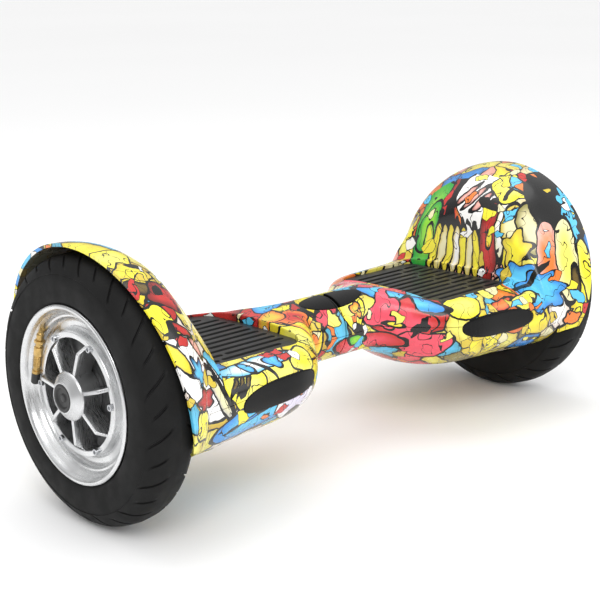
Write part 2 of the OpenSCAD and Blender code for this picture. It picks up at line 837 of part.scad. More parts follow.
module charge_socket() {
    plate_y = port_face_y + 0.6;
    pin_circle = 3.2;
    color("dimgray") difference() {
        union() {
            port_cylinder(12.5, port_face_y + 0.1, port_face_y + 2);
            port_cylinder(socket_r + 0.8, port_face_y - 12, port_face_y + 1);
            port_cylinder(socket_r, port_face_y + 1, port_face_y + 9);
            // Ears and pin of the cap's hinge
            translate([port_x - ear_x, plate_y, port_z + 7])
                cube([2 * ear_x, 1.4, cap_hinge_z - port_z - 7]);
            for (x = [-ear_x, ear_x - ear_t])
                translate([port_x + x, plate_y, ear_z])
                    cube([ear_t, cap_hinge_y - plate_y, cap_hinge_z - ear_z]);
            for (x = [-ear_x, ear_x - ear_t])
                on_cap_hinge(x) cylinder(r = 2.2, h = ear_t);
            on_cap_hinge(-ear_x) cylinder(r = cap_pin_r, h = 2 * ear_x);
        }
        // Recess with the contact pins standing in it
        difference() {
            port_cylinder(socket_r - 1.8, port_face_y - 2, port_face_y + 10);
            for (a = [0 : 120 : 240])
                translate([port_x + pin_circle * cos(a), port_face_y + 2.8, port_z + pin_circle * sin(a)])
                    rotate([90, 0, 0]) cylinder(r = 1, h = 6);
        }
    }
}

module charge_cap() {
    rim_y = port_face_y + 2.5;
    top_y = port_face_y + 11.4;
    color([0.1, 0.1, 0.1]) difference() {
        union() {
            port_cylinder(socket_r + 2.6, rim_y, top_y);
            translate([port_x - 3, rim_y + 1.5, port_z + 8]) cube([6, 3, cap_hinge_z - port_z - 8]);
            on_cap_hinge(-4.4) cylinder(r = 2.3, h = 8.8);
        }
        port_cylinder(socket_r + 1, rim_y - 1, port_face_y + 9.4);
        on_cap_hinge(-ear_x - 1) cylinder(r = cap_pin_r + run, h = 2 * ear_x + 2);
    }
}

mirrored() top_shell(socket_r + 0.9);  // right_top_shell
top_shell(button_r + 0.5);  // left_top_shell
mirrored() bottom_shell();  // right_bottom_shell
bottom_shell();  // left_bottom_shell
mirrored() chassis(tube_r, false, false);  // right_chassis
chassis(bush_r, true, true);  // left_chassis
mirrored() axle();  // right_axle
axle();  // left_axle
mirrored() axle_clamp();  // right_axle_clamp
axle_clamp();  // left_axle_clamp
mirrored() clamp_screws();  // right_clamp_screws
clamp_screws();  // left_clamp_screws
mirrored() rim();  // right_rim
rim();  // left_rim
mirrored() tyre();  // right_tyre
tyre();  // left_tyre
mirrored() inner_tube();  // right_inner_tube
inner_tube();  // left_inner_tube
mirrored() valve_stem();  // right_valve_stem
valve_stem();  // left_valve_stem
mirrored() valve_cap();  // right_valve_cap
valve_cap();  // left_valve_cap
mirrored() motor_housing();  // right_motor_housing
motor_housing();  // left_motor_housing
mirrored() motor_cover();  // right_motor_cover
motor_cover();  // left_motor_cover
mirrored() wheel_bolts();  // right_wheel_bolts
wheel_bolts();  // left_wheel_bolts
mirrored() stator();  // right_stator
stator();  // left_stator
mirrored() magnet_ring();  // right_magnet_ring
magnet_ring();  // left_magnet_ring
mirrored() wheel_bearings();  // right_wheel_bearings
wheel_bearings();  // left_wheel_bearings
mirrored() hub_cap();  // right_hub_cap
hub_cap();  // left_hub_cap
mirrored() foot_mat();  // right_foot_mat
foot_mat();  // left_foot_mat
mirrored() pedal_plate();  // right_pedal_plate
pedal_plate();  // left_pedal_plate
mirrored() plungers();  // right_plungers
plungers();  // left_plungers
mirrored() sensor_board();  // right_sensor_board
sensor_board();  // left_sensor_board
mirrored() headlight_lens();  // right_headlight_lens
headlight_lens();  // left_headlight_lens
mirrored() led_board();  // right_led_board
led_board();  // left_led_board
mirrored() indicator_window();  // right_indicator_window
indicator_window();  // left_indicator_window
mirrored() shell_screws();  // right_shell_screws
shell_screws();  // left_shell_screws
pivot_tube();
pivot_bushes();
mirrored() battery_pack();
main_board();
power_button();
mirrored() charge_socket();
mirrored() charge_cap();
harness();
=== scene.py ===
"""Visual model of a self balancing two-wheel board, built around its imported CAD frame."""
import json
from math import atan2, cos, degrees, hypot, pi, radians, sin

import bmesh
import bpy
import numpy as np
from mathutils import Matrix, Vector

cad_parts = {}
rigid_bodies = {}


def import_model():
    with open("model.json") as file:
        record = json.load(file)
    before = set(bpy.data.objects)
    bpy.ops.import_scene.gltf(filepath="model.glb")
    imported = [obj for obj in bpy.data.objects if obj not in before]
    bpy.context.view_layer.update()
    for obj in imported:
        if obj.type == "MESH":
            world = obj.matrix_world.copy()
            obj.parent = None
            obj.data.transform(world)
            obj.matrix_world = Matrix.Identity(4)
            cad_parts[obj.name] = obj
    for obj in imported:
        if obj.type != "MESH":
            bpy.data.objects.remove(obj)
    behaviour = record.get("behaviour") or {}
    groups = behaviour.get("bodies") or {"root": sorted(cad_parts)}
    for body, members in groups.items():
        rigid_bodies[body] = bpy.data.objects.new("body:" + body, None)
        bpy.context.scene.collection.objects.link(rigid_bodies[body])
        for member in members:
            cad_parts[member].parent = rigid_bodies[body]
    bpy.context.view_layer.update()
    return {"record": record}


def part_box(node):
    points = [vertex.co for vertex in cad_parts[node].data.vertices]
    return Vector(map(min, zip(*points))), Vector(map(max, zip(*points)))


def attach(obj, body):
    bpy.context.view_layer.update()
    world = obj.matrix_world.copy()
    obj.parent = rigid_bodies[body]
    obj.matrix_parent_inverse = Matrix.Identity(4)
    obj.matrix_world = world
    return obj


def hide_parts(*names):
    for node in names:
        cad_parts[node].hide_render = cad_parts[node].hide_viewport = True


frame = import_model()
MM = 0.001
SIDES = (("right", -1), ("left", 1))


def corners_of(node):
    """The lowest and the highest corner of a CAD node's box, in millimetres."""
    return [[c / MM for c in corner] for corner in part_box(node)]


def centre_of(node):
    return [(a + b) / 2 for a, b in zip(*corners_of(node))]


# ---------------------------------------------------------------- sizes, in millimetres
# Every part is worked out for the +X half, with u the distance from the middle of the board.
WHEEL_U, _, AXLE_Z = centre_of("left_tyre")
TYRE_R = AXLE_Z
TYRE_HALF_W = corners_of("left_tyre")[1][0] - WHEEL_U
(SEAM_U, _, _), (WELL_U, _, PARTING_Z) = corners_of("left_bottom_shell")
(PAD_IN, _, PAD_BASE), (PAD_OUT, PAD_Y, PAD_TOP) = corners_of("left_foot_mat")
LENS_U, _, LENS_Z = centre_of("left_headlight_lens")
LENS_HALF_L, LENS_HALF_H = 51, 12.7
WINDOW_HALF_L, WINDOW_HALF_W, WINDOW_LEAN = 43, 14, 20
PORT_U, _, PORT_Z = centre_of("power_button")
BUTTON_HOLE_R, SOCKET_HOLE_R = 8.1, 8.9
WALL, WAIST_R, WELL_GAP = 3.0, 34.5, 3.2

# Body stations: distance out, half depth, height above the axle, depth below it,
# drop of the widest line, squareness of the upper half, squareness of the lower half.
BODY = np.array([
    (SEAM_U, 34.5, 34.5, 34.5, 0, 2, 2), (44, 34.5, 34.5, 34.5, 0, 2, 2),
    (54, 41, 34.3, 36, 0.3, 2, 2), (64, 54, 33, 40, 1, 2.1, 2),
    (76, 70, 30.5, 46, 2.5, 2.4, 2), (88, 84, 27, 53, 4.5, 2.8, 2),
    (100, 95, 25.2, 59, 6, 3.2, 2.05), (114, 103, 24.6, 63, 6.5, 3.4, 2.1),
    (135, 108, 24.5, 66.5, 7, 3.6, 2.1), (170, 110.5, 24.5, 68.5, 7, 3.6, 2.1),
    (205, 114.5, 25, 68.8, 5, 3.4, 2.2), (223, 118, 27, 69, 3, 3, 2.3),
    (227, 118.4, 54, 69, 2, 1.7, 2.35), (229.5, 118.8, 88, 69, 1, 1.55, 2.4),
    (234, 119.2, 101, 69, 0, 1.55, 2.4), (241, 119.8, 110.5, 69, 0, 1.65, 2.4),
    (250, 120.8, 118.5, 69, 0, 1.8, 2.4), (WELL_U, 122.5, 122.5, 69, 0, 2, 2.4),
])
LIP_U = 223
# Fender stations: distance out and radius. It is a tunnel over the wheel, cut by one slanted plane.
FENDER = np.array([
    (WELL_U, 122.5), (262, 126.6), (270, 131), (280, 134.8), (290, 137), (300, 138), (312, 138),
])
FENDER_DROP = 100
FENDER_EDGE = (280, 105, 10)     # distance out, height, tilt in degrees
SCREW_SITES, SCREW_HOLE_R = ((112, 58), (165, 66), (222, 68)), 4.4
VENTS, VENT_START, VENT_PITCH, VENT_W, VENT_HALF_L = 6, 140, 10, 4, 14
PARTING_GAP = 0.3
SPOKES, SPOKE_START, SPOKE_HALF_T = 7, 8.2, 1.8
BOLTS, BOLT_START, BOLT_R = 6, -1.0, 55.2
HUB_FACE = 35.5
# The valve's distance from the wheel's middle, and its knee and its end seen along the axle
VALVE_W, VALVE_KNEE, VALVE_END = 22, (51, 46), (65.5, -3)
VALVE_RUN = hypot(VALVE_END[0] - VALVE_KNEE[0], VALVE_END[1] - VALVE_KNEE[1])


# ---------------------------------------------------------------- curves and meshes
def turns(n):
    """The angles of n even steps round a circle."""
    return [2 * pi * k / n for k in range(n)]


def path_length(a, b):
    """The running length of the line through the points (a, b)."""
    return np.concatenate(([0], np.cumsum(np.hypot(np.diff(a), np.diff(b)))))


def smooth_curve(xs, ys, x):
    """Monotone cubic through the points (xs, ys), so a curve never overshoots its stations."""
    xs, ys = np.asarray(xs, float), np.asarray(ys, float)
    h = np.diff(xs)
    d = np.diff(ys) / h
    m = np.zeros(len(xs))
    m[0], m[-1] = d[0], d[-1]
    for i in range(1, len(xs) - 1):
        if d[i - 1] * d[i] > 0:
            w1, w2 = 2 * h[i] + h[i - 1], h[i] + 2 * h[i - 1]
            m[i] = (w1 + w2) / (w1 / d[i - 1] + w2 / d[i])
    x = np.clip(x, xs[0], xs[-1])
    k = np.clip(np.searchsorted(xs, x) - 1, 0, len(h) - 1)
    t = (x - xs[k]) / h[k]
    return ((2 * t**3 - 3 * t**2 + 1) * ys[k] + (t**3 - 2 * t**2 + t) * h[k] * m[k]
            + (3 * t**2 - 2 * t**3) * ys[k + 1] + (t**3 - t**2) * h[k] * m[k + 1])


def body_at(u):
    """The body's section at u: half depth, above, below, drop and both squarenesses."""
    return [float(smooth_curve(BODY[:, 0], BODY[:, k], u)) for k in range(1, 7)]


def fender_r(u):
    return float(smooth_curve(FENDER[:, 0], FENDER[:, 1], u))


def signed_power(v, p):
    return np.sign(v) * np.abs(v) ** p


def section_power(v, n):
    """One coordinate of a superellipse, eased where a pointed section would have a crease."""
    if n >= 2:
        return signed_power(v, 2 / n)
    ease = 0.04
    return v * ((v * v + ease) / (1 + ease)) ** (1 / n - 0.5)


def ring(u, section, inset=0.0, half_count=80):
    """One closed ring of the skin with evenly spaced points, each half sampled alone."""
    a, above, below, drop, n_top, n_bottom = section
    points = []
    for start, height, n in ((0, above + drop, n_top), (pi, below - drop, n_bottom)):
        t = start + np.linspace(0, pi, 721)
        y = (a - inset) * section_power(np.cos(t), n)
        z = AXLE_Z - drop + (height - inset) * section_power(np.sin(t), n)
        run = path_length(y, z)
        even = np.linspace(0, run[-1], half_count + 1)[:-1]
        points += list(zip(np.full(half_count, u), np.interp(even, run, y), np.interp(even, run, z)))
    return points


def skin_z(u, y):
    """Height of the body's upper skin at (u, y)."""
    a, above, _, drop, n_top, _ = body_at(u)
    side = min(abs(y) / a, 1)
    return AXLE_Z - drop + (above + drop) * (1 - side**n_top) ** (1 / n_top)


def skin_y(u, z):
    """Distance of the body's front or rear skin from the middle plane at (u, z)."""
    a, above, below, drop, n_top, n_bottom = body_at(u)
    dz = z - (AXLE_Z - drop)
    height, n = (above + drop, n_top) if dz > 0 else (below - drop, n_bottom)
    return a * (1 - min(abs(dz) / height, 1) ** n) ** (1 / n)


def linked(name, data):
    """A new object in the scene."""
    obj = bpy.data.objects.new(name, data)
    bpy.context.scene.collection.objects.link(obj)
    return obj


def new_object(name, points, faces, sharp=35):
    """A mesh object from points in millimetres, shaded smooth up to the sharp angle."""
    mesh = bpy.data.meshes.new(name)
    mesh.from_pydata([tuple(c * MM for c in p) for p in points], [], faces)
    mesh.validate()
    return shade(linked(name, mesh), sharp)


def shade(obj, sharp=35):
    mesh = obj.data
    mesh.polygons.foreach_set("use_smooth", [True] * len(mesh.polygons))
    mesh.set_sharp_from_angle(angle=radians(sharp))
    mesh.update()
    return obj


def quads(rings, n, closed=True, around=True):
    """Faces between rings of n points; closed joins the last to the first, around closes each."""
    return [(i * n + k, i * n + (k + 1) % n, j * n + (k + 1) % n, j * n + k)
            for i, j in zip(range(rings if closed else rings - 1), [*range(1, rings), 0])
            for k in range(n if around else n - 1)]


def tidy_normals(obj, weld=False):
    """Turns the faces outwards, after joining points that coincide if weld is set."""
    bm = bmesh.new()
    bm.from_mesh(obj.data)
    if weld:
        bmesh.ops.remove_doubles(bm, verts=bm.verts, dist=1e-6)
    bmesh.ops.recalc_face_normals(bm, faces=bm.faces)
    bm.to_mesh(obj.data)
    bm.free()
    return obj


def loft(name, rings):
    """A closed skin through rings of points."""
    n = len(rings[0])
    points = [p for r in rings for p in r]
    faces = quads(len(rings), n, closed=False)
    faces += [tuple(range(n - 1, -1, -1)), tuple(range((len(rings) - 1) * n, len(rings) * n))]
    return tidy_normals(new_object(name, points, faces))


def rounded(corners, steps=4):
    """A closed outline with its corners rounded; each corner is (a, b) or (a, b, radius)."""
    out = []
    for i, corner in enumerate(corners):
        p = np.array(corner[:2], float)
        r = corner[2] if len(corner) > 2 else 0
        before = np.array(corners[i - 1][:2], float) - p
        after = np.array(corners[(i + 1) % len(corners)][:2], float) - p
        lb, la = np.linalg.norm(before), np.linalg.norm(after)
        if r <= 0 or lb == 0 or la == 0:
            out.append(tuple(p))
            continue
        before, after = before / lb, after / la
        cut = min(r, 0.45 * lb, 0.45 * la)
        start, end = p + before * cut, p + after * cut
        for k in range(steps + 1):
            t = k / steps
            out.append(tuple((1 - t) ** 2 * start + 2 * t * (1 - t) * p + t**2 * end))
    return out


def lathe(name, profile, centre_u, steps):
    """A closed (radius, width) profile turned about the wheel's axis."""
    points = []
    for t in turns(steps):
        points += [(centre_u + w, r * cos(t), AXLE_Z + r * sin(t)) for r, w in profile]
    return shade(tidy_normals(new_object(name, points, quads(steps, len(profile))), weld=True))


def prism(name, outline, low, high, axis="z"):
    """An outline extruded along an axis; along y the outline is in (x, z)."""
    place = {"z": lambda p, h: (p[0], p[1], h), "y": lambda p, h: (p[0], h, p[1]),
             "x": lambda p, h: (h, p[0], p[1])}[axis]
    return loft(name, [[place(p, h) for p in outline] for h in (low, high)])


def apply_modifiers(obj):
    bpy.context.view_layer.update()
    shaped = obj.evaluated_get(bpy.context.evaluated_depsgraph_get())
    mesh = bpy.data.meshes.new_from_object(shaped)
    obj.modifiers.clear()
    obj.data = mesh
    return obj


def discard(*objs):
    for obj in objs:
        bpy.data.objects.remove(obj, do_unlink=True)


def carve(obj, *others, operation="DIFFERENCE"):
    """Boolean with each of the others in turn; the others are used up."""
    for other in others:
        step = obj.modifiers.new("cut", "BOOLEAN")
        step.operation, step.object, step.solver = operation, other, "MANIFOLD"
        apply_modifiers(obj)
        discard(other)


def add(obj, other):
    carve(obj, other, operation="UNION")


def bevel(obj, width, segments):
    step = obj.modifiers.new("bevel", "BEVEL")
    step.width, step.segments = width * MM, segments
    step.limit_method, step.angle_limit = "ANGLE", radians(40)
    return shade(apply_modifiers(obj), 40)


def from_bmesh(name, bm):
    mesh = bpy.data.meshes.new(name)
    bm.to_mesh(mesh)
    bm.free()
    return linked(name, mesh)


def joined(name, parts):
    """Several objects as one; the parts are used up."""
    bm = bmesh.new()
    for part in parts:
        bm.from_mesh(part.data)
    obj = from_bmesh(name, bm)
    discard(*parts)
    return shade(obj)


def for_side(obj, name, side, sharp=35):
    """A copy of a +X part for one side; the -X side's copy is mirrored."""
    bm = bmesh.new()
    bm.from_mesh(obj.data)
    if side < 0:
        bmesh.ops.scale(bm, vec=(-1, 1, 1), verts=bm.verts)
        bmesh.ops.reverse_faces(bm, faces=bm.faces)
    return shade(from_bmesh(name, bm), sharp)


def paint(obj, slot):
    obj.data.materials.clear()
    obj.data.materials.append(materials[slot])


def dress(obj, body, slot, *nodes):
    """Gives a piece the material of its slot and its body, and hides the CAD nodes that it stands for.
    """
    paint(obj, slot)
    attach(obj, body)
    if nodes:
        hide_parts(*nodes)


def dress_pairs(body, *parts):
    """Copies +X parts to both sides; each is (object, label, slot, node, sharp) and is used up."""
    for name, side in SIDES:
        for part, label, slot, node, sharp in parts:
            dress(for_side(part, f"{name}_{label}", side, sharp), f"{name}_{body}", slot,
                  f"{name}_{node}")
    discard(*(part[0] for part in parts))


# ---------------------------------------------------------------- outlines
def arc(cx, cy, r, start, end, steps=10):
    return [
        (cx + r * cos(radians(start + (end - start) * k / steps)),
         cy + r * sin(radians(start + (end - start) * k / steps)))
        for k in range(steps + 1)
    ]


def pad_outline(grow):
    """The foot pad seen from above: round inboard corners and a slightly bowed inboard edge."""
    big, small = 24, 9
    corner_u = PAD_IN + big + 2
    return (
        arc(corner_u, -(PAD_Y - big), big + grow, 180, 270)
        + arc(PAD_OUT - small, -(PAD_Y - small), small + grow, 270, 360, 6)
        + arc(PAD_OUT - small, PAD_Y - small, small + grow, 0, 90, 6)
        + arc(corner_u, PAD_Y - big, big + grow, 90, 180)
        + [(PAD_IN - grow, 16), (PAD_IN - grow, -16)]
    )


def lens_point(turn, size=1.0, grow=0.0):
    """A point of the lamp lens's outline: a rounded leaf that droops outboard."""
    c, q = cos(turn), sin(turn)
    return (LENS_U + size * (LENS_HALF_L + grow) * float(signed_power(c, 0.8)),
            LENS_Z + size * ((LENS_HALF_H + grow) * float(signed_power(q, 0.8)) - 2 * c))


def window_point(turn, grow=0.0):
    """A point of the indicator windows' oval: distance out and distance round the waist."""
    return (WINDOW_HALF_L + grow) * cos(turn), (WINDOW_HALF_W + grow) * sin(turn)


# ---------------------------------------------------------------- body shells
def body_sections(start, step):
    """The distance out and the section at even steps along the body's upper skin."""
    run = path_length(BODY[:, 0], BODY[:, 2])
    for s in np.arange(start, run[-1], step):
        u, *section = [float(smooth_curve(run, BODY[:, k], s)) for k in range(7)]
        yield u, section


def body_rings():
    """Dense rings from the seam to the fender's far edge, as one skin with a step at the wheel well."""
    rings = [ring(u, section) for u, section in body_sections(0, 1.9)]
    rings.append(ring(WELL_U, body_at(WELL_U)))
    for u in (*np.arange(WELL_U, FENDER[-1, 0], 2.5), FENDER[-1, 0]):
        r = fender_r(u)
        rings.append(ring(max(u, WELL_U + 0.2), (r, r, FENDER_DROP, 0, 2, 2)))
    return rings


def cavity_rings():
    """The hollow inside the body, a wall's thickness within the skin."""
    rings = [ring(SEAM_U - 1, body_at(SEAM_U), WALL, 40)]
    for u, section in body_sections(0.5, 4):
        u += (WALL if u > LIP_U else 0) * min((u - LIP_U) / 2, 1)
        if u < WELL_U - WALL:
            rings.append(ring(u, section, WALL, 40))
    return rings


def pad_lip():
    """The rolled edge round the foot pad, from the skin over and down to the mat."""
    wide, deep = 2.6, 9.5
    section = [(wide, 0.0), (1.9, 0.42), (1.1, 0.55), (0.4, 0.3), (0.05, -0.35), (0.0, -1.3),
               (0.0, -deep), (wide, -deep)]
    # Every ring has as many points as the innermost one
    base = pad_outline(1)
    spans = [max(1, int(hypot(q[0] - p[0], q[1] - p[1]) / 3))
             for p, q in zip(base, base[1:] + base[:1])]
    points = []
    for grow, drop in section:
        around = pad_outline(1 + grow)
        for p, q, span in zip(around, around[1:] + around[:1], spans):
            for k in range(span):
                u, y = (a + (b - a) * k / span for a, b in zip(p, q))
                z = skin_z(min(u, LIP_U), y) + drop if drop > -deep else PAD_TOP - deep
                points.append((u, y, z))
    return tidy_normals(new_object("pad_lip", points, quads(len(section), sum(spans)), 50))


def box_cutter(name, low, high, turn=None, origin=None):
    (x0, y0, z0), (x1, y1, z1) = low, high
    obj = prism(name, [(x0, y0), (x1, y0), (x1, y1), (x0, y1)], z0, z1)
    if turn is not None:
        pivot = Vector(origin) * MM
        obj.data.transform(Matrix.Translation(pivot) @ turn @ Matrix.Translation(-pivot))
    return obj


def cylinder_cutter(name, r, centre, low, high, axis="z"):
    outline = [(centre[0] + r * cos(t), centre[1] + r * sin(t)) for t in turns(48)]
    return prism(name, outline, low, high, axis)


def make_shell():
    """The whole hollow half with every opening but the rear port, before it is parted."""
    shell = loft("shell", body_rings())
    well = [(0, WELL_U)] + [(fender_r(u) - WELL_GAP, u) for u in np.linspace(WELL_U, FENDER[-1, 0], 24)]
    well += [(FENDER[-1, 1] - WELL_GAP, WELL_U + 80), (0, WELL_U + 80)]
    edge_u, edge_z, tilt = FENDER_EDGE
    outside = box_cutter("outside", (edge_u, -200, edge_z - 300), (edge_u + 90, 200, edge_z + 300),
                         Matrix.Rotation(radians(tilt), 4, "Y"), (edge_u, 0, edge_z))
    carve(shell, loft("cavity", cavity_rings()), lathe("well", well, 0, 256), outside,
          prism("pad_cut", pad_outline(1 + 2.4), PAD_TOP - 12, 220),
          prism("lens_cut", [lens_point(t, 1, 0.35) for t in turns(96)], -140, -80, "y"),
          window_cutter(), cylinder_cutter("axle_cut", 11, (0, AXLE_Z), WELL_U - 8, WELL_U + 8, "x"),
          box_cutter("axle_slot", (WELL_U - 8, -11, PARTING_Z - 1), (WELL_U + 8, 11, AXLE_Z)))
    return shell


def window_cutter():
    """A column over the indicator windows' oval, leaning forward."""
    obj = prism("window_cut", [window_point(t, 0.3) for t in turns(72)], 20, 50)
    lean = Matrix.Rotation(radians(WINDOW_LEAN), 4, "X")
    obj.data.transform(Matrix.Translation((0, 0, AXLE_Z * MM)) @ lean)
    return obj


def make_shells():
    whole = make_shell()
    top = for_side(whole, "top", 1)
    carve(top, box_cutter("low", (-5, -200, 0), (WELL_U, 200, PARTING_Z + PARTING_GAP)))
    lip = pad_lip()
    bottom = for_side(whole, "bottom", 1)
    carve(bottom, box_cutter("high", (-5, -200, PARTING_Z - PARTING_GAP), (WELL_U + 80, 200, 300)),
          box_cutter("out", (WELL_U, -200, -10), (WELL_U + 80, 200, 300)))
    for x, y in SCREW_SITES:
        for side in (-1, 1):
            carve(bottom, cylinder_cutter("hole", SCREW_HOLE_R, (x, side * y), 0, 92))
    for k in range(VENTS):
        u = VENT_START + VENT_PITCH * k
        carve(bottom, box_cutter("slot", (u, -VENT_HALF_L, 0), (u + VENT_W, VENT_HALF_L, 70)))
    for name, side in SIDES:
        upper = for_side(top, name + "_top_shell_skin", side)
        port_r = SOCKET_HOLE_R if side < 0 else BUTTON_HOLE_R
        carve(upper, cylinder_cutter("port", port_r, (side * PORT_U, PORT_Z), 80, 140, "y"))
        upper = joined(name + "_top_shell_skin", [upper, for_side(lip, "lip", side)])
        dress(upper, name + "_half", "printed_shell", name + "_top_shell")
        lower = for_side(bottom, name + "_bottom_shell_skin", side)
        dress(lower, name + "_half", "printed_shell", name + "_bottom_shell")
    discard(whole, top, bottom, lip)


def make_seam_seal():
    """The rubber ring between the two halves, fixed to the right one."""
    inner, outer, low, high = 15.4, WAIST_R - 1.2, -0.7, 0.6
    section = rounded([(inner, low), (outer, low, 0.2), (outer, high, 0.2), (inner, high)])
    dress(lathe("seam_seal", section, 0, 128), "right_half", "cap_rubber")


# ---------------------------------------------------------------- lamps and windows
def domed_plate(name, place, rings=14, around=120):
    """A plate with a rolled edge: place(turn, size, out) gives a point out mm above the skin."""
    thick, edge = 3.4, 0.75
    points = [place(0, 0, 0.35)]
    sizes = list(np.linspace(0.08, 0.94, rings)) + [0.965, 0.985, 0.996, 1.0]
    outs = [0.35] * rings + [0.3, 0.12, -0.15, -edge]
    for size, out in zip(sizes, outs):
        points += [place(t, size, out) for t in turns(around)]
    points += [place(t, 1.0, -thick) for t in turns(around)]
    points.append(place(0, 0, -thick))
    faces = [(0, 1 + k, 1 + (k + 1) % around) for k in range(around)]
    faces += [tuple(1 + c for c in face) for face in quads(len(sizes) + 1, around, closed=False)]
    last = 1 + len(sizes) * around
    faces += [(len(points) - 1, last + (k + 1) % around, last + k) for k in range(around)]
    return tidy_normals(new_object(name, points, faces, 50))


def lens_place(turn, size, out):
    u, z = lens_point(turn, size)
    return u, -(skin_y(u, z) + out), z


def window_place(turn, size, out):
    """The half oval beyond the seam, wrapped on the waist and leaning forward."""
    u, side = window_point(turn)
    start, middle = 3.2, 22.0
    u, side = middle + (max(u, start) - middle) * size, side * size
    tilt = side / WAIST_R - radians(WINDOW_LEAN)
    return u, (WAIST_R + out) * sin(tilt), AXLE_Z + (WAIST_R + out) * cos(tilt)


def make_lenses():
    lens, window = domed_plate("lens", lens_place), domed_plate("window", window_place, 10, 144)
    dress_pairs("half", (lens, "lamp_lens", "smoked_lens", "headlight_lens", 50),
                (window, "window_lens", "smoked_lens", "indicator_window", 50))


# ---------------------------------------------------------------- foot mats
def capsule(start, end, y, r):
    """A long groove with round ends, seen from above."""
    return arc(end, y, r, -90, 90) + arc(start, y, r, 90, 270)


def make_mats():
    mat = prism("mat", pad_outline(0), PAD_BASE, PAD_TOP)
    count, groove_r, depth, margin, bridge = 11, 2.9, 2.0, 10, 9
    pitch = 2 * (PAD_Y - margin) / count
    for i in range(count):
        y = margin - PAD_Y + pitch * (i + 0.5)
        # Grooves near the round corners start later, and long and short end pieces take turns
        start, end = PAD_IN + (25 if abs(y) > PAD_Y - 26 else 11), PAD_OUT - 8
        stop = end - 26 - 14 * (i % 2)
        for a, b in ((start, stop), (stop + bridge, end)):
            groove = prism("groove", capsule(a, b, y, groove_r), PAD_TOP - depth, PAD_TOP + 5)
            carve(mat, groove)
    bevel(mat, 0.55, 3)
    dress_pairs("pedal", (mat, "ribbed_mat", "mat_rubber", "foot_mat", 50))


# ---------------------------------------------------------------- wheels
def smooth_run(corners, count):
    """Evenly spaced points along a smooth curve through (radius, width) corners."""
    rs, ws = np.array(corners).T
    run = path_length(rs, ws)
    s = np.linspace(0, run[-1], count)
    return list(zip(smooth_curve(run, rs, s), smooth_curve(run, ws, s)))


def tyre_profile():
    """Outer profile from the tread's middle to a bead, and the way back along the inside."""
    h, r = TYRE_HALF_W, TYRE_R
    tread = smooth_run([(r, 0), (r - 1.4, 0.4 * h), (r - 4.2, 0.6 * h), (r - 9, 0.77 * h),
                        (r - 13.6, 0.87 * h), (r - 16, 0.91 * h)], 22)
    sidewall = smooth_run([(r - 16.6, 0.89 * h), (r - 20, 0.93 * h), (r - 26, 0.96 * h),
                           (r - 33, 0.965 * h), (r - 39, 0.95 * h), (85.6, 0.92 * h)], 16)
    inside = [(84.4, 23.8), (78.3, 23.4), (78.3, 16.5), (82, 16.5), (87, 20.5), (97.5, 23.5),
              (r - 22, 23.3), (r - 13, 20.5), (r - 7.5, 14), (r - 5.6, 0)]
    return tread + sidewall, inside


def make_tyre():
    """The casing with slanted sipes over its shoulders; columns of the mesh run along the sipes."""
    outside, inside = tyre_profile()
    upper = [(r, w, True) for r, w in outside] + [(r, w, False) for r, w in inside]
    profile = upper + [(r, -w, outer) for r, w, outer in upper[-2:0:-1]]
    sipes = 32
    pitch = 2 * pi / sipes
    half_w, floor_w, deep = 1.8 / TYRE_R, 1.0 / TYRE_R, 1.7
    offsets = [-half_w, -floor_w, floor_w, half_w] + list(np.linspace(half_w, pitch - half_w, 8)[1:-1])
    points = []
    for i in range(sipes):
        # Long and short sipes take turns
        edge, low_r = ((7.0, TYRE_R - 16), (11.0, TYRE_R - 12))[i % 2]
        for j, offset in enumerate(offsets):
            for r, w, outer in profile:
                # Turned further towards the beads, so the sipes slant
                shear = 0.21 * min(abs(w) / TYRE_HALF_W, 1) ** 1.5 + 0.0035 * max(0, TYRE_R - 10 - r)
                t = i * pitch + offset + shear
                if outer and j in (1, 2) and abs(w) > edge and r > low_r:
                    cut = deep * min(1, (abs(w) - edge) / 2, (r - low_r) / 4)
                    slope = hypot(r - 104, w)
                    r, w = r - cut * (r - 104) / slope, w - cut * w / slope
                points.append((WHEEL_U + w, r * cos(t), AXLE_Z + r * sin(t)))
    return tidy_normals(new_object("tyre", points, quads(sipes * len(offsets), len(profile)), 48))


def turned(points, angle):
    """Points about the wheel's axis turned by an angle in degrees, from +Y towards +Z."""
    c, s = cos(radians(angle)), sin(radians(angle))
    return [(WHEEL_U + w, y * c - z * s, AXLE_Z + y * s + z * c) for w, y, z in points]


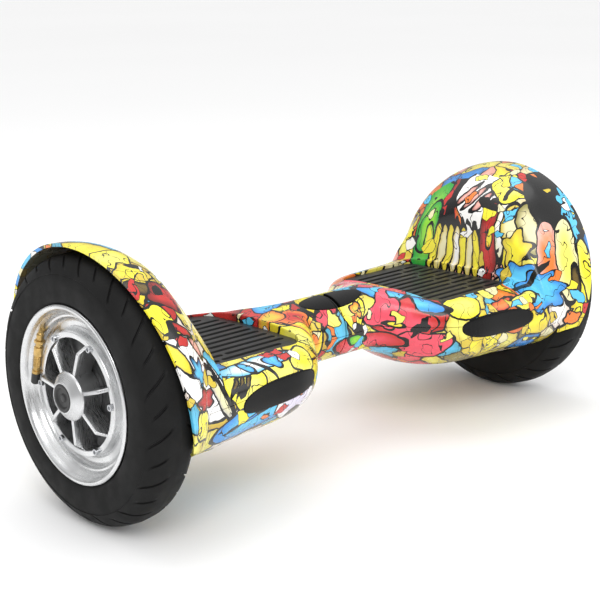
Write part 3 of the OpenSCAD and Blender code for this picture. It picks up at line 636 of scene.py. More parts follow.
def make_rim():
    """The machined rim: stepped dish, barrel, hub boss and spokes."""
    dish = rounded([
        (77.8, 22.8, 0.4), (83, 23.8, 0.4), (84, 24.8, 0.5), (83.8, 26.3, 0.6), (82.4, 27, 0.8),
        (80.4, 26.8, 0.8), (78.6, 25, 0.8), (77, 21.5, 0.5), (74.6, 18.6, 0.5), (72.9, 15.6, 0.4),
        (70.8, 15.2, 0.4), (69.2, 11.8, 0.8), (66, 9.9, 1.5), (61, 9.9, 1.5), (59.2, 12.5, 0.8),
        (58.6, 19.2, 0.5), (57.8, 20.2, 0.5), (53.1, 20.2, 0.4), (52.5, 19.6, 0.4), (52.5, 6),
        (73, 6), (73, -26.5), (84, -26.5, 0.8), (84, -24.6, 0.6), (83, -23.8, 0.4), (77.8, -22.8, 0.4),
    ])
    rim = lathe("rim", dish, WHEEL_U, 256)
    boss = rounded([
        (13.25, 8), (23, 8, 0.4), (23, 27.7, 0.6), (22, 29.6, 1.2), (16.6, 33.4, 1.2),
        (14.8, 34.8, 0.6), (14.2, HUB_FACE, 0.4), (13.25, HUB_FACE, 0.2),
    ])
    add(rim, lathe("boss", boss, WHEEL_U, 128))
    outline = [(9, 21.5), (9, 52.9), (18.4, 52.9), (27.6, 46), (27.6, 21.5)]
    for k in range(SPOKES):
        rings = [turned([(w, r, t) for w, r in outline], SPOKE_START + 360 * k / SPOKES)
                 for t in (-SPOKE_HALF_T, SPOKE_HALF_T)]
        add(rim, bevel(loft("spoke", rings), 0.7, 3))
    return shade(rim, 32)


def make_bolts():
    """Socket-head screws: a rounded head with a socket, and the shank behind it."""
    profile = rounded([(0, 1.5), (2, 1.5), (2, 20.3), (3.1, 20.3, 0.2), (3.1, 23.5, 0.5),
                       (1.75, 23.5, 0.15), (1.75, 21.8), (0, 21.6)], 3)
    around = 36
    parts = []
    for k in range(BOLTS):
        points = []
        for t in turns(around):
            points += turned([(w, BOLT_R + r * cos(t), r * sin(t)) for r, w in profile],
                             BOLT_START + 360 * k / BOLTS)
        bolt = new_object("bolt", points, quads(around, len(profile), around=False))
        parts.append(tidy_normals(bolt, weld=True))
    return joined("bolts", parts)


def make_hub_cap():
    profile = rounded([
        (0, 30), (13.2, 30), (13.2, HUB_FACE - 0.6, 0.3), (12.2, HUB_FACE + 0.3, 0.5),
        (10, HUB_FACE + 0.2, 0.5), (8.8, HUB_FACE - 1.4, 0.6), (4.2, HUB_FACE - 1.8, 0.8),
        (3.2, HUB_FACE - 0.6, 0.5), (0, HUB_FACE - 0.4),
    ])
    return lathe("hub_cap", profile, WHEEL_U, 96)


def along_valve(profile, steps=40, name="valve_part"):
    """A (radius, distance) profile turned about the valve's stem, measured from its knee."""
    angle = atan2(VALVE_END[1] - VALVE_KNEE[1], VALVE_END[0] - VALVE_KNEE[0])
    c, s = cos(angle), sin(angle)
    points = []
    for t in (2 * pi * (i + 0.5) / steps for i in range(steps)):
        points += [(WHEEL_U + VALVE_W + r * cos(t),
                    VALVE_KNEE[0] + d * c - r * sin(t) * s,
                    AXLE_Z + VALVE_KNEE[1] + d * s + r * sin(t) * c) for r, d in profile]
    return tidy_normals(new_object(name, points, quads(steps, len(profile), around=False)), weld=True)


def make_valve():
    """Brass stem with its knee, hexagons and thread, and the black cap."""
    thread = []
    for k in range(10):
        d = 22 + 1.1 * k
        thread += [(3.3, d), (3.75, d + 0.35), (3.75, d + 0.65), (3.3, d + 1.0)]
    stem = along_valve([(0, -3.7), (1.9, -3.2), (3.2, -1.8), (3.6, 0), (3.3, 1.6), (3.3, 21.5)] + thread
                       + [(3.3, VALVE_RUN - 14), (4.2, VALVE_RUN - 13.8), (4.2, VALVE_RUN - 11.1),
                          (3.3, VALVE_RUN - 11), (3.3, VALVE_RUN - 7), (0, VALVE_RUN - 7)])
    nuts = [bevel(along_valve([(0, a), (r, a), (r, b), (0, b)], 6), 0.35, 2)
            for r, a, b in ((5.2, 5, 8), (4.6, 12, 21))]
    knee_r = hypot(*VALVE_KNEE)
    up = degrees(atan2(VALVE_KNEE[1], VALVE_KNEE[0]))
    slant, foot_r = radians(43), 3
    rings = []
    for d in (0, 6, 12, 17.6):
        cr, cw = knee_r + d * cos(slant), VALVE_W - d * sin(slant)
        rings.append(turned([
            (cw + foot_r * cos(t) * cos(slant), cr + foot_r * cos(t) * sin(slant), foot_r * sin(t))
            for t in np.linspace(0, 2 * pi, 28, endpoint=False)], up))
    foot = loft("foot", rings)
    cap = rounded([(0, VALVE_RUN), (3.6, VALVE_RUN, 0.6), (4.2, VALVE_RUN - 1, 0.5),
                   (4.2, VALVE_RUN - 10.9, 0.3), (3.4, VALVE_RUN - 10.9), (3.4, VALVE_RUN - 6.5),
                   (0, VALVE_RUN - 6.5)])
    return joined("valve", [stem, foot] + nuts), along_valve(cap + [cap[0]], 48, name="cap")


def make_wheels():
    tyre, rim, bolts, cap = make_tyre(), make_rim(), make_bolts(), make_hub_cap()
    stem, stem_cap = make_valve()
    dress_pairs("wheel", (tyre, "treaded_tyre", "tyre_rubber", "tyre", 48),
                (rim, "turned_rim", "machined_rim", "rim", 32),
                (bolts, "socket_bolts", "steel", "wheel_bolts", 35),
                (cap, "dust_cap", "black_plastic", "hub_cap", 35),
                (stem, "brass_valve", "valve_brass", "valve_stem", 35),
                (stem_cap, "screw_cap", "black_plastic", "valve_cap", 35))


# ---------------------------------------------------------------- materials
def rgb(text):
    """A colour written as six hexadecimal digits, as the linear values that Blender uses."""
    parts = [int(text[i:i + 2], 16) / 255 for i in (0, 2, 4)]
    return tuple(c / 12.92 if c <= 0.04045 else ((c + 0.055) / 1.055) ** 2.4 for c in parts) + (1,)


class Tree:
    """Short calls that add nodes to a node tree; any input may be a value or another node's socket."""

    def __init__(self, tree):
        self.tree = tree
        tree.nodes.clear()

    def put(self, socket, value):
        if isinstance(value, bpy.types.NodeSocket):
            self.tree.links.new(value, socket)
        elif value is not None:
            socket.default_value = value

    def node(self, kind, inputs=(), **settings):
        node = self.tree.nodes.new("ShaderNode" + kind)
        for key, value in settings.items():
            setattr(node, key, value)
        for key, value in dict(inputs).items():
            self.put(node.inputs[key], value)
        return node

    def math(self, operation, a, b=0.0):
        return self.node("Math", {0: a, 1: b}, operation=operation).outputs[0]

    def plus(self, a, b):
        return self.math("ADD", a, b)

    def minus(self, a, b):
        return self.math("SUBTRACT", a, b)

    def times(self, a, b):
        return self.math("MULTIPLY", a, b)

    def above(self, a, b):
        return self.math("GREATER_THAN", a, b)

    def below(self, a, b):
        return self.math("LESS_THAN", a, b)

    def size(self, a):
        return self.math("ABSOLUTE", a)

    def sine(self, a):
        return self.math("SINE", a)

    def vector(self, operation, a, b=(0, 0, 0)):
        node = self.node("VectorMath", {0: a, 1: b}, operation=operation)
        return node.outputs["Value" if operation in ("DOT_PRODUCT", "LENGTH", "DISTANCE") else "Vector"]

    def scaled(self, vector, scale):
        return self.vector("MULTIPLY", vector, (scale, scale, scale))

    def xyz(self, vector):
        return self.node("SeparateXYZ", {0: vector}).outputs

    def noise(self, place, scale, detail, output=0):
        inputs = {"Vector": place, "Scale": scale, "Detail": detail, "Roughness": 0.5}
        return self.node("TexNoise", inputs).outputs[output]

    def voronoi(self, place, scale, feature="F1", randomness=1.0):
        inputs = {"Vector": place, "Scale": scale, "Randomness": randomness}
        return self.node("TexVoronoi", inputs, feature=feature).outputs

    def ramp(self, value, stops, constant=False):
        node = self.node("ValToRGB", {"Fac": value})
        node.color_ramp.interpolation = "CONSTANT" if constant else "LINEAR"
        elements = node.color_ramp.elements
        for i, (position, colour) in enumerate(stops):
            element = elements[i] if i < 2 else elements.new(position)
            element.position, element.color = position, colour
        return node.outputs["Color"]

    def span(self, value, low, high, to_low=0.0, to_high=1.0):
        """Smooth step from low to high."""
        return self.node("MapRange", {0: value, 1: low, 2: high, 3: to_low, 4: to_high},
                         interpolation_type="SMOOTHSTEP").outputs[0]

    def mix(self, factor, a, b, mode="MIX"):
        node = self.node("Mix", {"Factor": factor}, data_type="RGBA", blend_type=mode)
        self.put(node.inputs[6], a)
        self.put(node.inputs[7], b)
        return node.outputs[2]


class Finish(Tree):
    """A Principled material in object coordinates, in metres."""

    def __init__(self, name, roughness=0.5, metallic=0.0, **constants):
        self.material = bpy.data.materials.new(name)
        self.material.use_nodes = True
        super().__init__(self.material.node_tree)
        self.shader = self.node("BsdfPrincipled", {"Roughness": roughness, "Metallic": metallic})
        for key, value in constants.items():
            self.shader.inputs[key.replace("_", " ")].default_value = value
        out = self.node("OutputMaterial")
        self.tree.links.new(self.shader.outputs[0], out.inputs[0])
        self.place = self.node("TexCoord").outputs["Object"]

    def drift(self, scale, detail, low, high):
        """A value that drifts between low and high over the surface."""
        return self.span(self.noise(self.place, scale, detail), 0.3, 0.7, low, high)

    def colour(self, value):
        self.put(self.shader.inputs["Base Color"], value)

    def rough(self, value):
        self.put(self.shader.inputs["Roughness"], value)

    def bump(self, height, strength, distance):
        node = self.node("Bump", {"Height": height, "Strength": strength, "Distance": distance})
        self.put(self.shader.inputs["Normal"], node.outputs[0])


def grey(value):
    return (value, value, value, 1)


def rubber(name, base, roughness, grain=900, dust=0.35, shine=0.16):
    m = Finish(name, roughness, Specular_IOR_Level=shine)
    cloud = m.noise(m.place, 22, 4)
    m.colour(m.ramp(m.span(cloud, 0.35, 0.7), [(0, grey(base)), (1, grey(base * (1 + dust)))]))
    m.rough(m.drift(60, 3, roughness - 0.06, roughness + 0.08))
    m.bump(m.noise(m.place, grain, 2), 0.18, 0.0003)
    return m.material


def moulded_plastic(name, colour, roughness, grain=1400, strength=0.12, metallic=0.0):
    m = Finish(name, roughness, metallic)
    tint = m.drift(35, 3, 0.88, 1.08)
    tint = m.node("CombineColor", {0: tint, 1: tint, 2: tint}).outputs[0]
    m.colour(m.mix(1.0, colour, tint, "MULTIPLY"))
    m.rough(m.drift(90, 2, roughness * 0.85, roughness * 1.2))
    m.bump(m.noise(m.place, grain, 1), strength, 0.0002)
    return m.material


def metal(name, colour, roughness, spots=0.15):
    """Drawn or turned metal: fine streaks along X and slow changes of gloss."""
    m = Finish(name, roughness, 1.0)
    streak = m.noise(m.vector("MULTIPLY", m.place, (40, 1800, 1800)), 1.0, 3)
    cloud = m.noise(m.place, 30, 3)
    dark = tuple(c * (1 - spots) for c in colour[:3]) + (1,)
    m.colour(m.mix(m.span(cloud, 0.35, 0.75), colour, dark))
    m.rough(m.plus(m.span(streak, 0.3, 0.7, roughness * 0.7, roughness * 1.3),
                   m.span(cloud, 0.4, 0.7, 0, 0.08)))
    m.bump(streak, 0.08, 0.0002)
    return m.material


def axle_distance(m):
    """Distance of a point from the wheels' axis."""
    _, y, z = m.xyz(m.place)
    lift = m.minus(z, AXLE_Z * MM)
    return m.math("SQRT", m.plus(m.times(y, y), m.times(lift, lift)))


def axle_lean(m):
    """Above nought where the surface faces away from the wheels' axis."""
    _, y, z = m.xyz(m.place)
    _, across, up = m.xyz(m.node("TexCoord").outputs["Normal"])
    lift = m.minus(z, AXLE_Z * MM)
    return m.plus(m.times(y, across), m.times(lift, up))


def machined_rim(name):
    """Bright turned aluminium: concentric tool marks, and the metal darker in patches at random."""
    m = Finish(name, 0.26, 1.0)
    r = axle_distance(m)
    marks = m.sine(m.times(r, 2 * pi / 0.00045))
    wander = m.noise(m.vector("MULTIPLY", m.place, (1600, 90, 90)), 1.0, 2)
    cloud = m.noise(m.place, 26, 4)
    m.colour(m.mix(m.span(cloud, 0.35, 0.75), (0.76, 0.765, 0.77, 1), (0.58, 0.585, 0.59, 1)))
    m.rough(m.plus(m.span(wander, 0.3, 0.7, 0.2, 0.34), m.span(cloud, 0.45, 0.7, 0, 0.1)))
    m.bump(m.plus(m.times(marks, 0.5), wander), 0.1, 0.0002)
    return m.material


def smoked_lens(name):
    """Deep black polished plastic with faint moulded flutes behind the surface."""
    m = Finish(name, 0.16, Specular_IOR_Level=0.16)
    x, _, _ = m.xyz(m.place)
    flutes = m.sine(m.times(x, 2 * pi / 0.0055))
    m.colour(m.ramp(m.span(flutes, -1, 1), [(0, grey(0.0055)), (1, grey(0.0065))]))
    m.rough(m.drift(70, 2, 0.12, 0.24))
    return m.material


def circuit_board(name, board):
    """Lacquered board with copper tracks and pads under the lacquer."""
    m = Finish(name, 0.35, Coat_Weight=0.4)
    cells = m.voronoi(m.place, 260, "DISTANCE_TO_EDGE", 0.0)
    tracks = m.span(cells["Distance"], 0.08, 0.12)
    lighter = tuple(min(1, c * 1.9 + 0.02) for c in board[:3]) + (1,)
    chips = m.voronoi(m.place, 70, "F1", 0.2)["Distance"]
    base = m.mix(tracks, lighter, board)
    m.colour(m.mix(m.span(chips, 0.16, 0.18), grey(0.02), base))
    m.bump(tracks, 0.3, 0.0002)
    return m.material


def winding(name):
    m = Finish(name, 0.35, 0.85)
    r = axle_distance(m)
    wires = m.sine(m.times(r, 2 * pi / 0.0009))
    m.colour(m.ramp(m.span(wires, -1, 1), [(0, rgb("5a2410")), (1, rgb("c8703a"))]))
    m.bump(wires, 0.6, 0.0004)
    return m.material


def wrapped_battery(name):
    m = Finish(name, 0.25, Coat_Weight=0.3)
    y = m.xyz(m.place)[1]
    folds = m.noise(m.vector("MULTIPLY", m.place, (14, 60, 60)), 1.0, 3)
    cells = m.size(m.sine(m.times(y, pi / 0.0185)))
    m.colour(m.ramp(m.span(folds, 0.3, 0.7), [(0, rgb("123a86")), (1, rgb("2b62c4"))]))
    m.bump(m.plus(m.times(cells, 0.6), folds), 0.5, 0.0012)
    return m.material


def braided_sleeve(name):
    m = Finish(name, 0.6)
    x, y, z = m.xyz(m.place)
    around = m.math("ARCTAN2", m.minus(z, AXLE_Z * MM), y)
    a = m.sine(m.plus(m.times(x, 1600), m.times(around, 8)))
    b = m.sine(m.minus(m.times(x, 1600), m.times(around, 8)))
    weave = m.times(a, b)
    m.colour(m.ramp(m.span(weave, -1, 1), [(0, rgb("6b4d04")), (1, rgb("e0b020"))]))
    m.bump(weave, 0.5, 0.0004)
    return m.material


# ---------------------------------------------------------------- the print on the shells
INK = grey(0.006)
YELLOW, LEMON, GOLD = rgb("f5e838"), rgb("f1ea6c"), rgb("d9c040")
RED, CORAL, MAROON = rgb("c8322e"), rgb("f0566a"), rgb("7a2420")
SKY, BLUE, NAVY = rgb("5cc4ee"), rgb("3a8ad8"), rgb("1c3c70")
WHITE, CREAM, ORANGE = rgb("f8f7f4"), rgb("ece4b4"), rgb("ee8038")
GREEN, LIME, BROWN, ROSE = rgb("22a040"), rgb("92dc3c"), rgb("6e5a2c"), rgb("f0b4a8")
OCHRE, SILVER, LAVENDER = rgb("8f8744"), rgb("b8b6ae"), rgb("ded8ec")
ACCENTS = (LEMON, INK, WHITE, ORANGE, YELLOW, RED, SKY, CREAM, GOLD)


def even_stops(colours):
    return [(i / len(colours), c) for i, c in enumerate(colours)]


def drawn_shape_group():
    """Node group: one drawn shape over what is below it, shaded towards its ink outline."""
    tree = bpy.data.node_groups.new("drawn_shape", "ShaderNodeTree")
    for kind, names in (("NodeSocketColor", ("Below", "Fill", "Shade")),
                        ("NodeSocketVector", ("Place", "Centre", "Across", "Up", "Out")),
                        ("NodeSocketFloat", ("Line", "Points", "Reach"))):
        for name in names:
            tree.interface.new_socket(name, in_out="INPUT", socket_type=kind)
    tree.interface.new_socket("Colour", in_out="OUTPUT", socket_type="NodeSocketColor")
    t = Tree(tree)
    given = tree.nodes.new("NodeGroupInput").outputs
    # Each shape waits for the one below it, because the renderer holds few values at a time
    place = t.vector("ADD", given["Place"], t.scaled(given["Below"], 1e-9))
    away = t.vector("SUBTRACT", place, given["Centre"])
    a, b, c = (t.vector("DOT_PRODUCT", away, given[k]) for k in ("Across", "Up", "Out"))
    rho = t.math("SQRT", t.plus(t.times(a, a), t.times(b, b)))
    wave = t.sine(t.times(t.math("ARCTAN2", b, a), given["Points"]))
    edge = t.plus(t.times(wave, given["Reach"]), 1.0)
    f = t.math("DIVIDE", rho, edge)
    near = t.below(t.size(c), 1.0)
    inside = t.times(near, t.below(f, 1.0))
    off_edge = t.size(t.minus(f, 1.0))
    line = t.times(near, t.below(off_edge, given["Line"]))
    fill = t.mix(t.span(f, 0.35, 1.0), given["Fill"], given["Shade"])
    out = tree.nodes.new("NodeGroupOutput")
    tree.links.new(t.mix(line, t.mix(inside, given["Below"], fill), INK), out.inputs["Colour"])
    return tree


def drawn_shape(m, group, place, below, at, facing, turn, size, fill, shade=None, points=0, reach=0.0):
    """Adds one shape, in millimetres; facing is the skin's normal at its centre."""
    n = Vector(facing).normalized()
    across = Vector((0, 0, 1)).cross(n).normalized()
    up = n.cross(across)
    c, s = cos(radians(turn)), sin(radians(turn))
    node = m.tree.nodes.new("ShaderNodeGroup")
    node.node_tree = group
    values = {
        "Below": below, "Place": place, "Centre": Vector(at) * MM, "Fill": fill, "Shade": shade or fill,
        "Across": (across * c + up * s) / (size[0] * MM), "Up": (up * c - across * s) / (size[1] * MM),
        "Out": n / (SHAPE_DEPTH * MM), "Line": 0.9 / min(size), "Points": float(points), "Reach": reach,
    }
    for key, value in values.items():
        m.put(node.inputs[key], value)
    return node.outputs[0]


SHAPE_DEPTH = 24
INWARD, SHOULDER, BROW = (-1, 0, 0.1), (-0.6, -0.3, 0.75), (-0.25, -0.6, 0.75)
CORNER, OUTER = (-0.5, -0.8, 0.35), (0.4, -0.85, 0.3)
CROWN, FRONT, LEDGE, BELOW = (0.1, -0.45, 0.9), (0, -0.8, 0.6), (0, -0.3, 0.95), (0.1, -0.94, -0.3)
WAIST, FLARE = (0, -0.93, 0.35), (-0.8, -0.6, 0)
# Drawn shapes: centre, facing, turn, half sizes and fill, then for some the shade at the outline,
# the number of points and their reach
SHAPES = [
    # Inner face of the left fender, from the rear to the front
    ((229, 52, 198), INWARD, -12, (27, 54), LIME, GREEN, 3, 0.12),
    ((229, 56, 192), INWARD, -14, (15, 34), LIME, GREEN, 2, 0.1),
    ((229, 54, 182), INWARD, -14, (6, 16), YELLOW, LIME),
    ((229, 30, 202), INWARD, 4, (8, 56), RED, MAROON),
    ((229, 18, 206), INWARD, 6, (11, 54), INK),
    ((230, 8, 220), INWARD, 8, (9, 42), ORANGE, RED),
    ((236, -8, 232), INWARD, 10, (27, 32), WHITE, WHITE, 3, 0.1),
    ((236, 6, 234), INWARD, -38, (4, 17), ROSE, MAROON),
    ((236, -6, 232), INWARD, -38, (4, 18), ROSE, MAROON),
    ((236, -18, 230), INWARD, -38, (4, 16), ROSE, MAROON),
    ((227, -36, 184), INWARD, 2, (14, 52), RED, MAROON),
    ((227, -37, 190), INWARD, 0, (5, 11), YELLOW, ORANGE),
    ((232, -50, 206), INWARD, 6, (6, 42), WHITE, CREAM),
    ((238, -62, 206), (-0.75, -0.4, 0.5), 4, (12, 30), CREAM, GOLD),
    ((246, -80, 206), CORNER, 4, (13, 30), CREAM, OCHRE, 2, 0.06),
    ((228, -72, 182), INWARD, 0, (14, 19), YELLOW, GOLD, 5, 0.22),
    ((262, -44, 250), SHOULDER, 20, (24, 22), LEMON, YELLOW, 5, 0.1),
    ((262, -40, 250), SHOULDER, 50, (5, 18), SKY),
    ((266, -54, 246), SHOULDER, 70, (6, 16), ORANGE),
    ((286, -84, 234), BROW, 0, (34, 48), INK),
    ((292, -92, 230), BROW, -12, (9, 22), SKY, SKY, 7, 0.35),
    ((284, -110, 208), BROW, 8, (7, 17), SKY, SKY, 6, 0.35),
    ((246, -106, 176), CORNER, -4, (13, 46), ORANGE, ROSE),
    ((266, -116, 172), CORNER, 0, (14, 50), LEMON, CREAM),
    ((270, -126, 150), CORNER, 0, (5, 17), BROWN, INK),
    ((284, -130, 160), (-0.3, -0.93, 0.2), 0, (9, 38), YELLOW, LEMON),
    ((224, -82, 152), INWARD, 0, (27, 18), SKY, BLUE, 7, 0.16),
    ((226, -112, 144), (-0.7, -0.6, 0.35), 0, (26, 22), SKY, BLUE, 7, 0.16),
    ((223, -97, 152), INWARD, -18, (3, 20), INK),
    ((266, -126, 108), (-0.5, -0.86, -0.2), 10, (10, 8), ORANGE, ORANGE, 4, 0.12),
    # Left half of the body
    ((166, -106, 140), FRONT, 10, (18, 6), ORANGE, RED, 3, 0.15),
    ((200, -112, 140), FRONT, 0, (20, 10), YELLOW, LEMON, 3, 0.1),
    ((118, -92, 144), FRONT, 0, (22, 16), LEMON, YELLOW, 3, 0.12),
    ((72, -44, 150), (-0.4, -0.5, 0.77), -20, (52, 10), SKY, BLUE),
    ((66, -56, 124), FLARE, 0, (32, 25), CORAL, RED, 5, 0.16),
    ((52, -38, 140), FLARE, 0, (15, 17), CORAL, CORAL, 4, 0.2),
    ((82, -66, 102), (-0.7, -0.5, -0.45), 0, (32, 18), CORAL, CORAL, 3, 0.15),
    ((58, -46, 126), FLARE, -14, (11, 3), YELLOW, GOLD),
    ((76, -68, 122), FLARE, -40, (5, 12), INK, INK, 4, 0.25),
    ((16, -28, 146), WAIST, 0, (18, 20), LEMON, YELLOW, 3, 0.12),
    ((22, -27, 146), WAIST, 20, (7, 9), GOLD, ORANGE, 3, 0.25),
    ((28, -33, 108), (0, -0.95, -0.4), 0, (42, 14), CORAL, RED, 3, 0.1),
    ((18, -33, 116), (0, -0.95, -0.3), -8, (15, 6), LIME, GREEN),
    # Right fender, from the rear over the top to the tip
    ((-288, 80, 236), (0.1, 0.6, 0.8), 0, (44, 40), SKY, BLUE, 5, 0.12),
    ((-296, -42, 258), CROWN, 0, (24, 17), LEMON, YELLOW, 3, 0.15),
    ((-288, -66, 248), CROWN, -30, (20, 14), YELLOW, GOLD, 4, 0.15),
    ((-292, -82, 238), CROWN, -30, (16, 7), BROWN, INK, 3, 0.2),
    ((-282, -92, 230), CROWN, 10, (12, 5), SKY, SKY, 3, 0.25),
    ((-266, -84, 226), (0.5, -0.6, 0.6), -30, (24, 14), RED, MAROON, 4, 0.15),
    ((-288, -108, 212), OUTER, 30, (13, 18), YELLOW, YELLOW, 4, 0.12),
    ((-266, -120, 160), OUTER, 34, (24, 54), WHITE),
    ((-290, -122, 184), OUTER, 30, (7, 24), YELLOW, GOLD),
    ((-272, -106, 202), OUTER, 50, (5, 15), RED, MAROON),
    ((-258, -112, 184), OUTER, 30, (5, 14), ROSE, MAROON),
    ((-264, -124, 166), OUTER, 26, (9, 12), SKY, NAVY, 5, 0.3),
    ((-260, -128, 142), OUTER, 10, (14, 9), RED, MAROON, 5, 0.22),
    ((-266, -128, 118), OUTER, 20, (12, 15), YELLOW, LEMON, 4, 0.1),
    # Right half of the body
    ((-238, -119, 138), (0.1, -1, 0.1), 22, (7, 30), CREAM, SILVER),
    ((-230, -118, 132), (0.1, -1, 0.1), 22, (2, 27), INK),
    ((-204, -112, 136), FRONT, 0, (27, 21), LEMON, YELLOW, 3, 0.08),
    ((-216, -111, 140), FRONT, -40, (2, 12), BROWN),
    ((-208, -110, 140), FRONT, -40, (2, 13), BROWN),
    ((-200, -110, 140), FRONT, -40, (2, 11), BROWN),
    ((-176, -94, 147), LEDGE, 3, (52, 10), WHITE, SKY),
    ((-190, -95, 147), LEDGE, 30, (5, 10), SKY, BLUE),
    ((-156, -96, 146), LEDGE, 20, (8, 9), SKY, BLUE, 3, 0.2),
    ((-172, -98, 144), LEDGE, 35, (2, 13), INK),
    ((-122, -98, 140), (0.25, -0.75, 0.6), 20, (19, 13), YELLOW, LEMON, 3, 0.15),
    ((-188, -109, 102), BELOW, 6, (58, 18), SKY, BLUE),
    ((-196, -110, 104), BELOW, 14, (26, 2), BLUE, NAVY),
    ((-136, -101, 104), (0.1, -0.86, -0.5), 10, (27, 22), LAVENDER, WHITE, 3, 0.08),
    ((-92, -62, 149), (0.2, -0.3, 0.94), 0, (18, 30), LEMON, YELLOW, 3, 0.12),
    ((-66, -46, 146), (0.3, -0.8, 0.5), 20, (12, 28), YELLOW, ORANGE),
    ((-44, -34, 136), WAIST, 12, (10, 26), ORANGE, YELLOW),
    ((-66, -26, 156), (0.1, -0.3, 0.95), -20, (22, 14), RED, ORANGE, 5, 0.15),
    ((-84, -10, 158), (-0.1, 0, 1), 0, (14, 16), GOLD, ORANGE, 3, 0.15),
    ((-96, 58, 150), (-0.1, 0.2, 1), 0, (26, 30), RED, MAROON, 3, 0.1),
    ((-66, 18, 158), (0, 0.2, 1), 0, (16, 18), SKY, BLUE, 3, 0.1),
]
# A fan of strokes along the left foot pad
SHAPES += [((226, 42 - 10 * i, 172), INWARD, 3 * i - 12, (6, 32), fill, GOLD)
           for i, fill in enumerate((YELLOW, CREAM, YELLOW, WHITE, YELLOW, CREAM, YELLOW))]


def comic_print(name):
    """Glossy street-art print: drawn shapes over inked patches whose colours change along the board."""
    m = Finish(name, 0.24, Coat_Weight=0.3, Coat_Roughness=0.12, Specular_IOR_Level=0.4)
    warp, fine = (m.vector("SUBTRACT", m.noise(m.place, scale, detail, "Color"), (0.5, 0.5, 0.5))
                  for scale, detail in ((24, 2), (110, 1)))
    wobble = m.vector("ADD", m.place, m.vector("ADD", m.scaled(warp, 0.012), m.scaled(fine, 0.003)))
    place = m.vector("ADD", m.place, m.vector("ADD", m.scaled(warp, 0.03), m.scaled(fine, 0.004)))

    cells = m.voronoi(place, 30)
    rand = m.node("SeparateColor", {0: cells["Color"]}).outputs
    edge = m.voronoi(place, 30, "DISTANCE_TO_EDGE")["Distance"]
    x = m.xyz(cells["Position"])[0]
    zones = (
        (-0.232, (YELLOW, WHITE, LEMON, RED, LEMON, BROWN, SKY, GOLD, WHITE, YELLOW)),
        (-0.105, (LEMON, SKY, WHITE, LEMON, BROWN, WHITE, BLUE, YELLOW, SKY, CREAM)),
        (-0.012, (YELLOW, ORANGE, CORAL, GOLD, LEMON, RED, YELLOW, WHITE, LEMON, ORANGE)),
        (0.105, (CORAL, CORAL, LEMON, CORAL, RED, LEMON, CORAL, BROWN, SKY, CORAL)),
        (0.215, (YELLOW, LEMON, ORANGE, LEMON, CREAM, SKY, YELLOW, OCHRE, WHITE, LEMON)),
        (1.0, (YELLOW, CREAM, RED, WHITE, LEMON, ORANGE, BLUE, YELLOW, ROSE, LEMON)),
    )
    colour = m.ramp(rand[0], even_stops(zones[0][1]), True)
    for (limit, _), (_, palette) in zip(zones, zones[1:]):
        beyond = m.above(x, limit)
        colour = m.mix(beyond, colour, m.ramp(rand[0], even_stops(palette), True))
    # Airbrushed shading towards the edge of each patch, then the ink round it
    shade_to = m.mix(1.0, colour, (0.7, 0.55, 0.45, 1), "MULTIPLY")
    colour = m.mix(m.span(edge, 0.3, 0.03, 0, 0.7), colour, shade_to)
    weight = m.drift(40, 1, 0.014, 0.05)
    colour = m.mix(m.below(edge, weight), colour, INK)

    group = drawn_shape_group()
    for shape in SHAPES:
        colour = drawn_shape(m, group, wobble, colour, *shape)

    # Smaller inked shapes and pen strokes over all of it
    small = m.voronoi(place, 74)
    small_rand = m.node("SeparateColor", {0: small["Color"]}).outputs
    small_edge = m.voronoi(place, 74, "DISTANCE_TO_EDGE")["Distance"]
    chosen = m.above(small_rand[1], 0.84)
    accents = m.ramp(small_rand[0], even_stops(ACCENTS), True)
    colour = m.mix(m.times(chosen, m.above(small_edge, 0.06)), colour, accents)
    colour = m.mix(m.times(chosen, m.below(small_edge, 0.06)), colour, INK)
    strokes = m.noise(m.vector("MULTIPLY", place, (60, 60, 22)), 1.0, 1)
    pen = m.below(m.size(m.minus(strokes, 0.5)), 0.0075)
    colour = m.mix(pen, colour, INK)
    # Painted shade: the print on the underside of a fender, facing the wheel, is darkened most of the
    # way to brown
    shaded_underside = m.below(axle_lean(m), -0.05)
    at_fender = m.above(m.size(m.xyz(m.place)[0]), 0.245)
    colour = m.mix(m.times(m.times(shaded_underside, at_fender), 0.9), colour, BROWN)

    m.colour(colour)
    m.rough(m.drift(45, 3, 0.19, 0.3))
    m.bump(m.noise(m.place, 420, 1), 0.05, 0.0003)
    return m.material


def make_materials():
    """The material of every slot, from its maker and the maker's settings."""
    plan = {
        "printed_shell": (comic_print,),
        "cast_frame": (moulded_plastic, (0.45, 0.46, 0.48, 1), 0.45, 500, 0.35, 0.9),
        "steel": (metal, (0.62, 0.63, 0.65, 1), 0.28),
        "dark_steel": (metal, (0.12, 0.12, 0.13, 1), 0.35),
        "machined_rim": (machined_rim,),
        "tyre_rubber": (rubber, 0.0085, 0.62),
        "tube_rubber": (rubber, 0.02, 0.5, 500),
        "valve_brass": (metal, (0.66, 0.44, 0.16, 1), 0.26, 0.4),
        "black_plastic": (moulded_plastic, grey(0.014), 0.38),
        "motor_paint": (moulded_plastic, grey(0.012), 0.42, 700, 0.25),
        "winding_copper": (winding,),
        "mat_rubber": (rubber, 0.02, 0.42, 1200, 0.5, 0.32),
        "circuit_board": (circuit_board, rgb("0f5a28")),
        "lamp_board": (circuit_board, rgb("d8d8d2")),
        "smoked_lens": (smoked_lens,),
        "nylon": (moulded_plastic, (0.72, 0.7, 0.62, 1), 0.45, 900, 0.2),
        "battery_wrap": (wrapped_battery,),
        "cap_rubber": (rubber, 0.02, 0.6, 1100),
        "harness_sleeve": (braided_sleeve,),
    }
    return {name: make(name, *settings) for name, (make, *settings) in plan.items()}


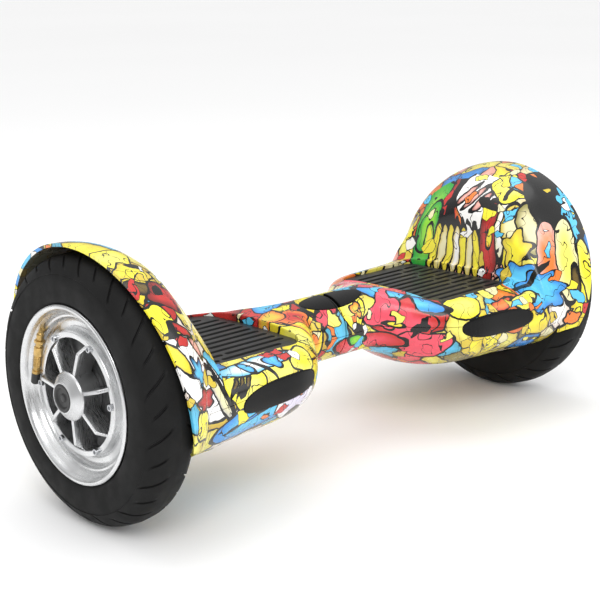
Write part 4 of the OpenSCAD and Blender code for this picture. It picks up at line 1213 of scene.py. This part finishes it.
# ---------------------------------------------------------------- studio
def area_light(name, place, target, size, power):
    light = bpy.data.lights.new(name, "AREA")
    light.shape, light.size, light.energy = "DISK", size, power
    obj = linked(name, light)
    obj.location = place
    obj.rotation_euler = (Vector(target) - Vector(place)).to_track_quat("-Z", "Y").to_euler()


def make_studio():
    scene = bpy.context.scene
    scene.view_settings.view_transform = "Standard"
    world = bpy.data.worlds.new("studio")
    scene.world = world
    world.use_nodes = True
    sky = Tree(world.node_tree)
    height = sky.xyz(sky.node("TexCoord").outputs["Generated"])[2]
    mirrored = sky.ramp(height, [(0.0, grey(0.3)), (0.35, grey(0.5)), (0.75, grey(1.0))])
    path = sky.node("LightPath").outputs
    shown = sky.mix(path["Is Camera Ray"], grey(1.0), grey(0.935))
    seen = sky.mix(path["Is Glossy Ray"], shown, mirrored)
    light = sky.node("Background", {"Color": seen, "Strength": 1.0})
    sky.tree.links.new(light.outputs[0], sky.node("OutputWorld").inputs[0])

    reach = 60000
    corners = ((-1, -1), (1, -1), (1, 1), (-1, 1))
    floor = new_object("floor", [(x * reach, y * reach, 0) for x, y in corners], [(0, 1, 2, 3)])
    m = Finish("pale_floor", 0.9)
    m.colour(m.ramp(m.noise(m.place, 0.6, 2), [(0, grey(0.92)), (1, grey(0.95))]))
    floor.data.materials.append(m.material)

    area_light("key", (-1.3, -1.5, 1.9), (0, 0, 0.12), 1.3, 20)
    area_light("fill", (1.9, -1.6, 1.2), (0.1, 0, 0.1), 1.6, 8)
    area_light("top", (0.1, 0.5, 2.2), (0, 0, 0.1), 1.8, 12)


def make_camera():
    azimuth, elevation, roll = radians(-42.86), radians(14.68), radians(-1.07)
    back = Vector((sin(azimuth) * cos(elevation), -cos(azimuth) * cos(elevation), sin(elevation)))
    right = Vector((0, 0, 1)).cross(back).normalized()
    up = back.cross(right)
    side = right * cos(roll) + up * sin(roll)
    top = up * cos(roll) - right * sin(roll)
    camera = bpy.data.cameras.new("camera")
    camera.sensor_width, camera.lens = 36.0, 81.45
    obj = linked("camera", camera)
    turn = Matrix((side, top, back)).transposed().to_4x4()
    obj.matrix_world = Matrix.Translation((-0.95397, -0.99323, 0.51728)) @ turn
    bpy.context.scene.camera = obj


# ---------------------------------------------------------------- the build
make_camera()
make_studio()
materials = make_materials()
for part in frame["record"]["subparts"]:
    paint(bpy.data.objects[part["node"]], part["material_slot"])
make_shells()
make_seam_seal()
make_lenses()
make_mats()
make_wheels()
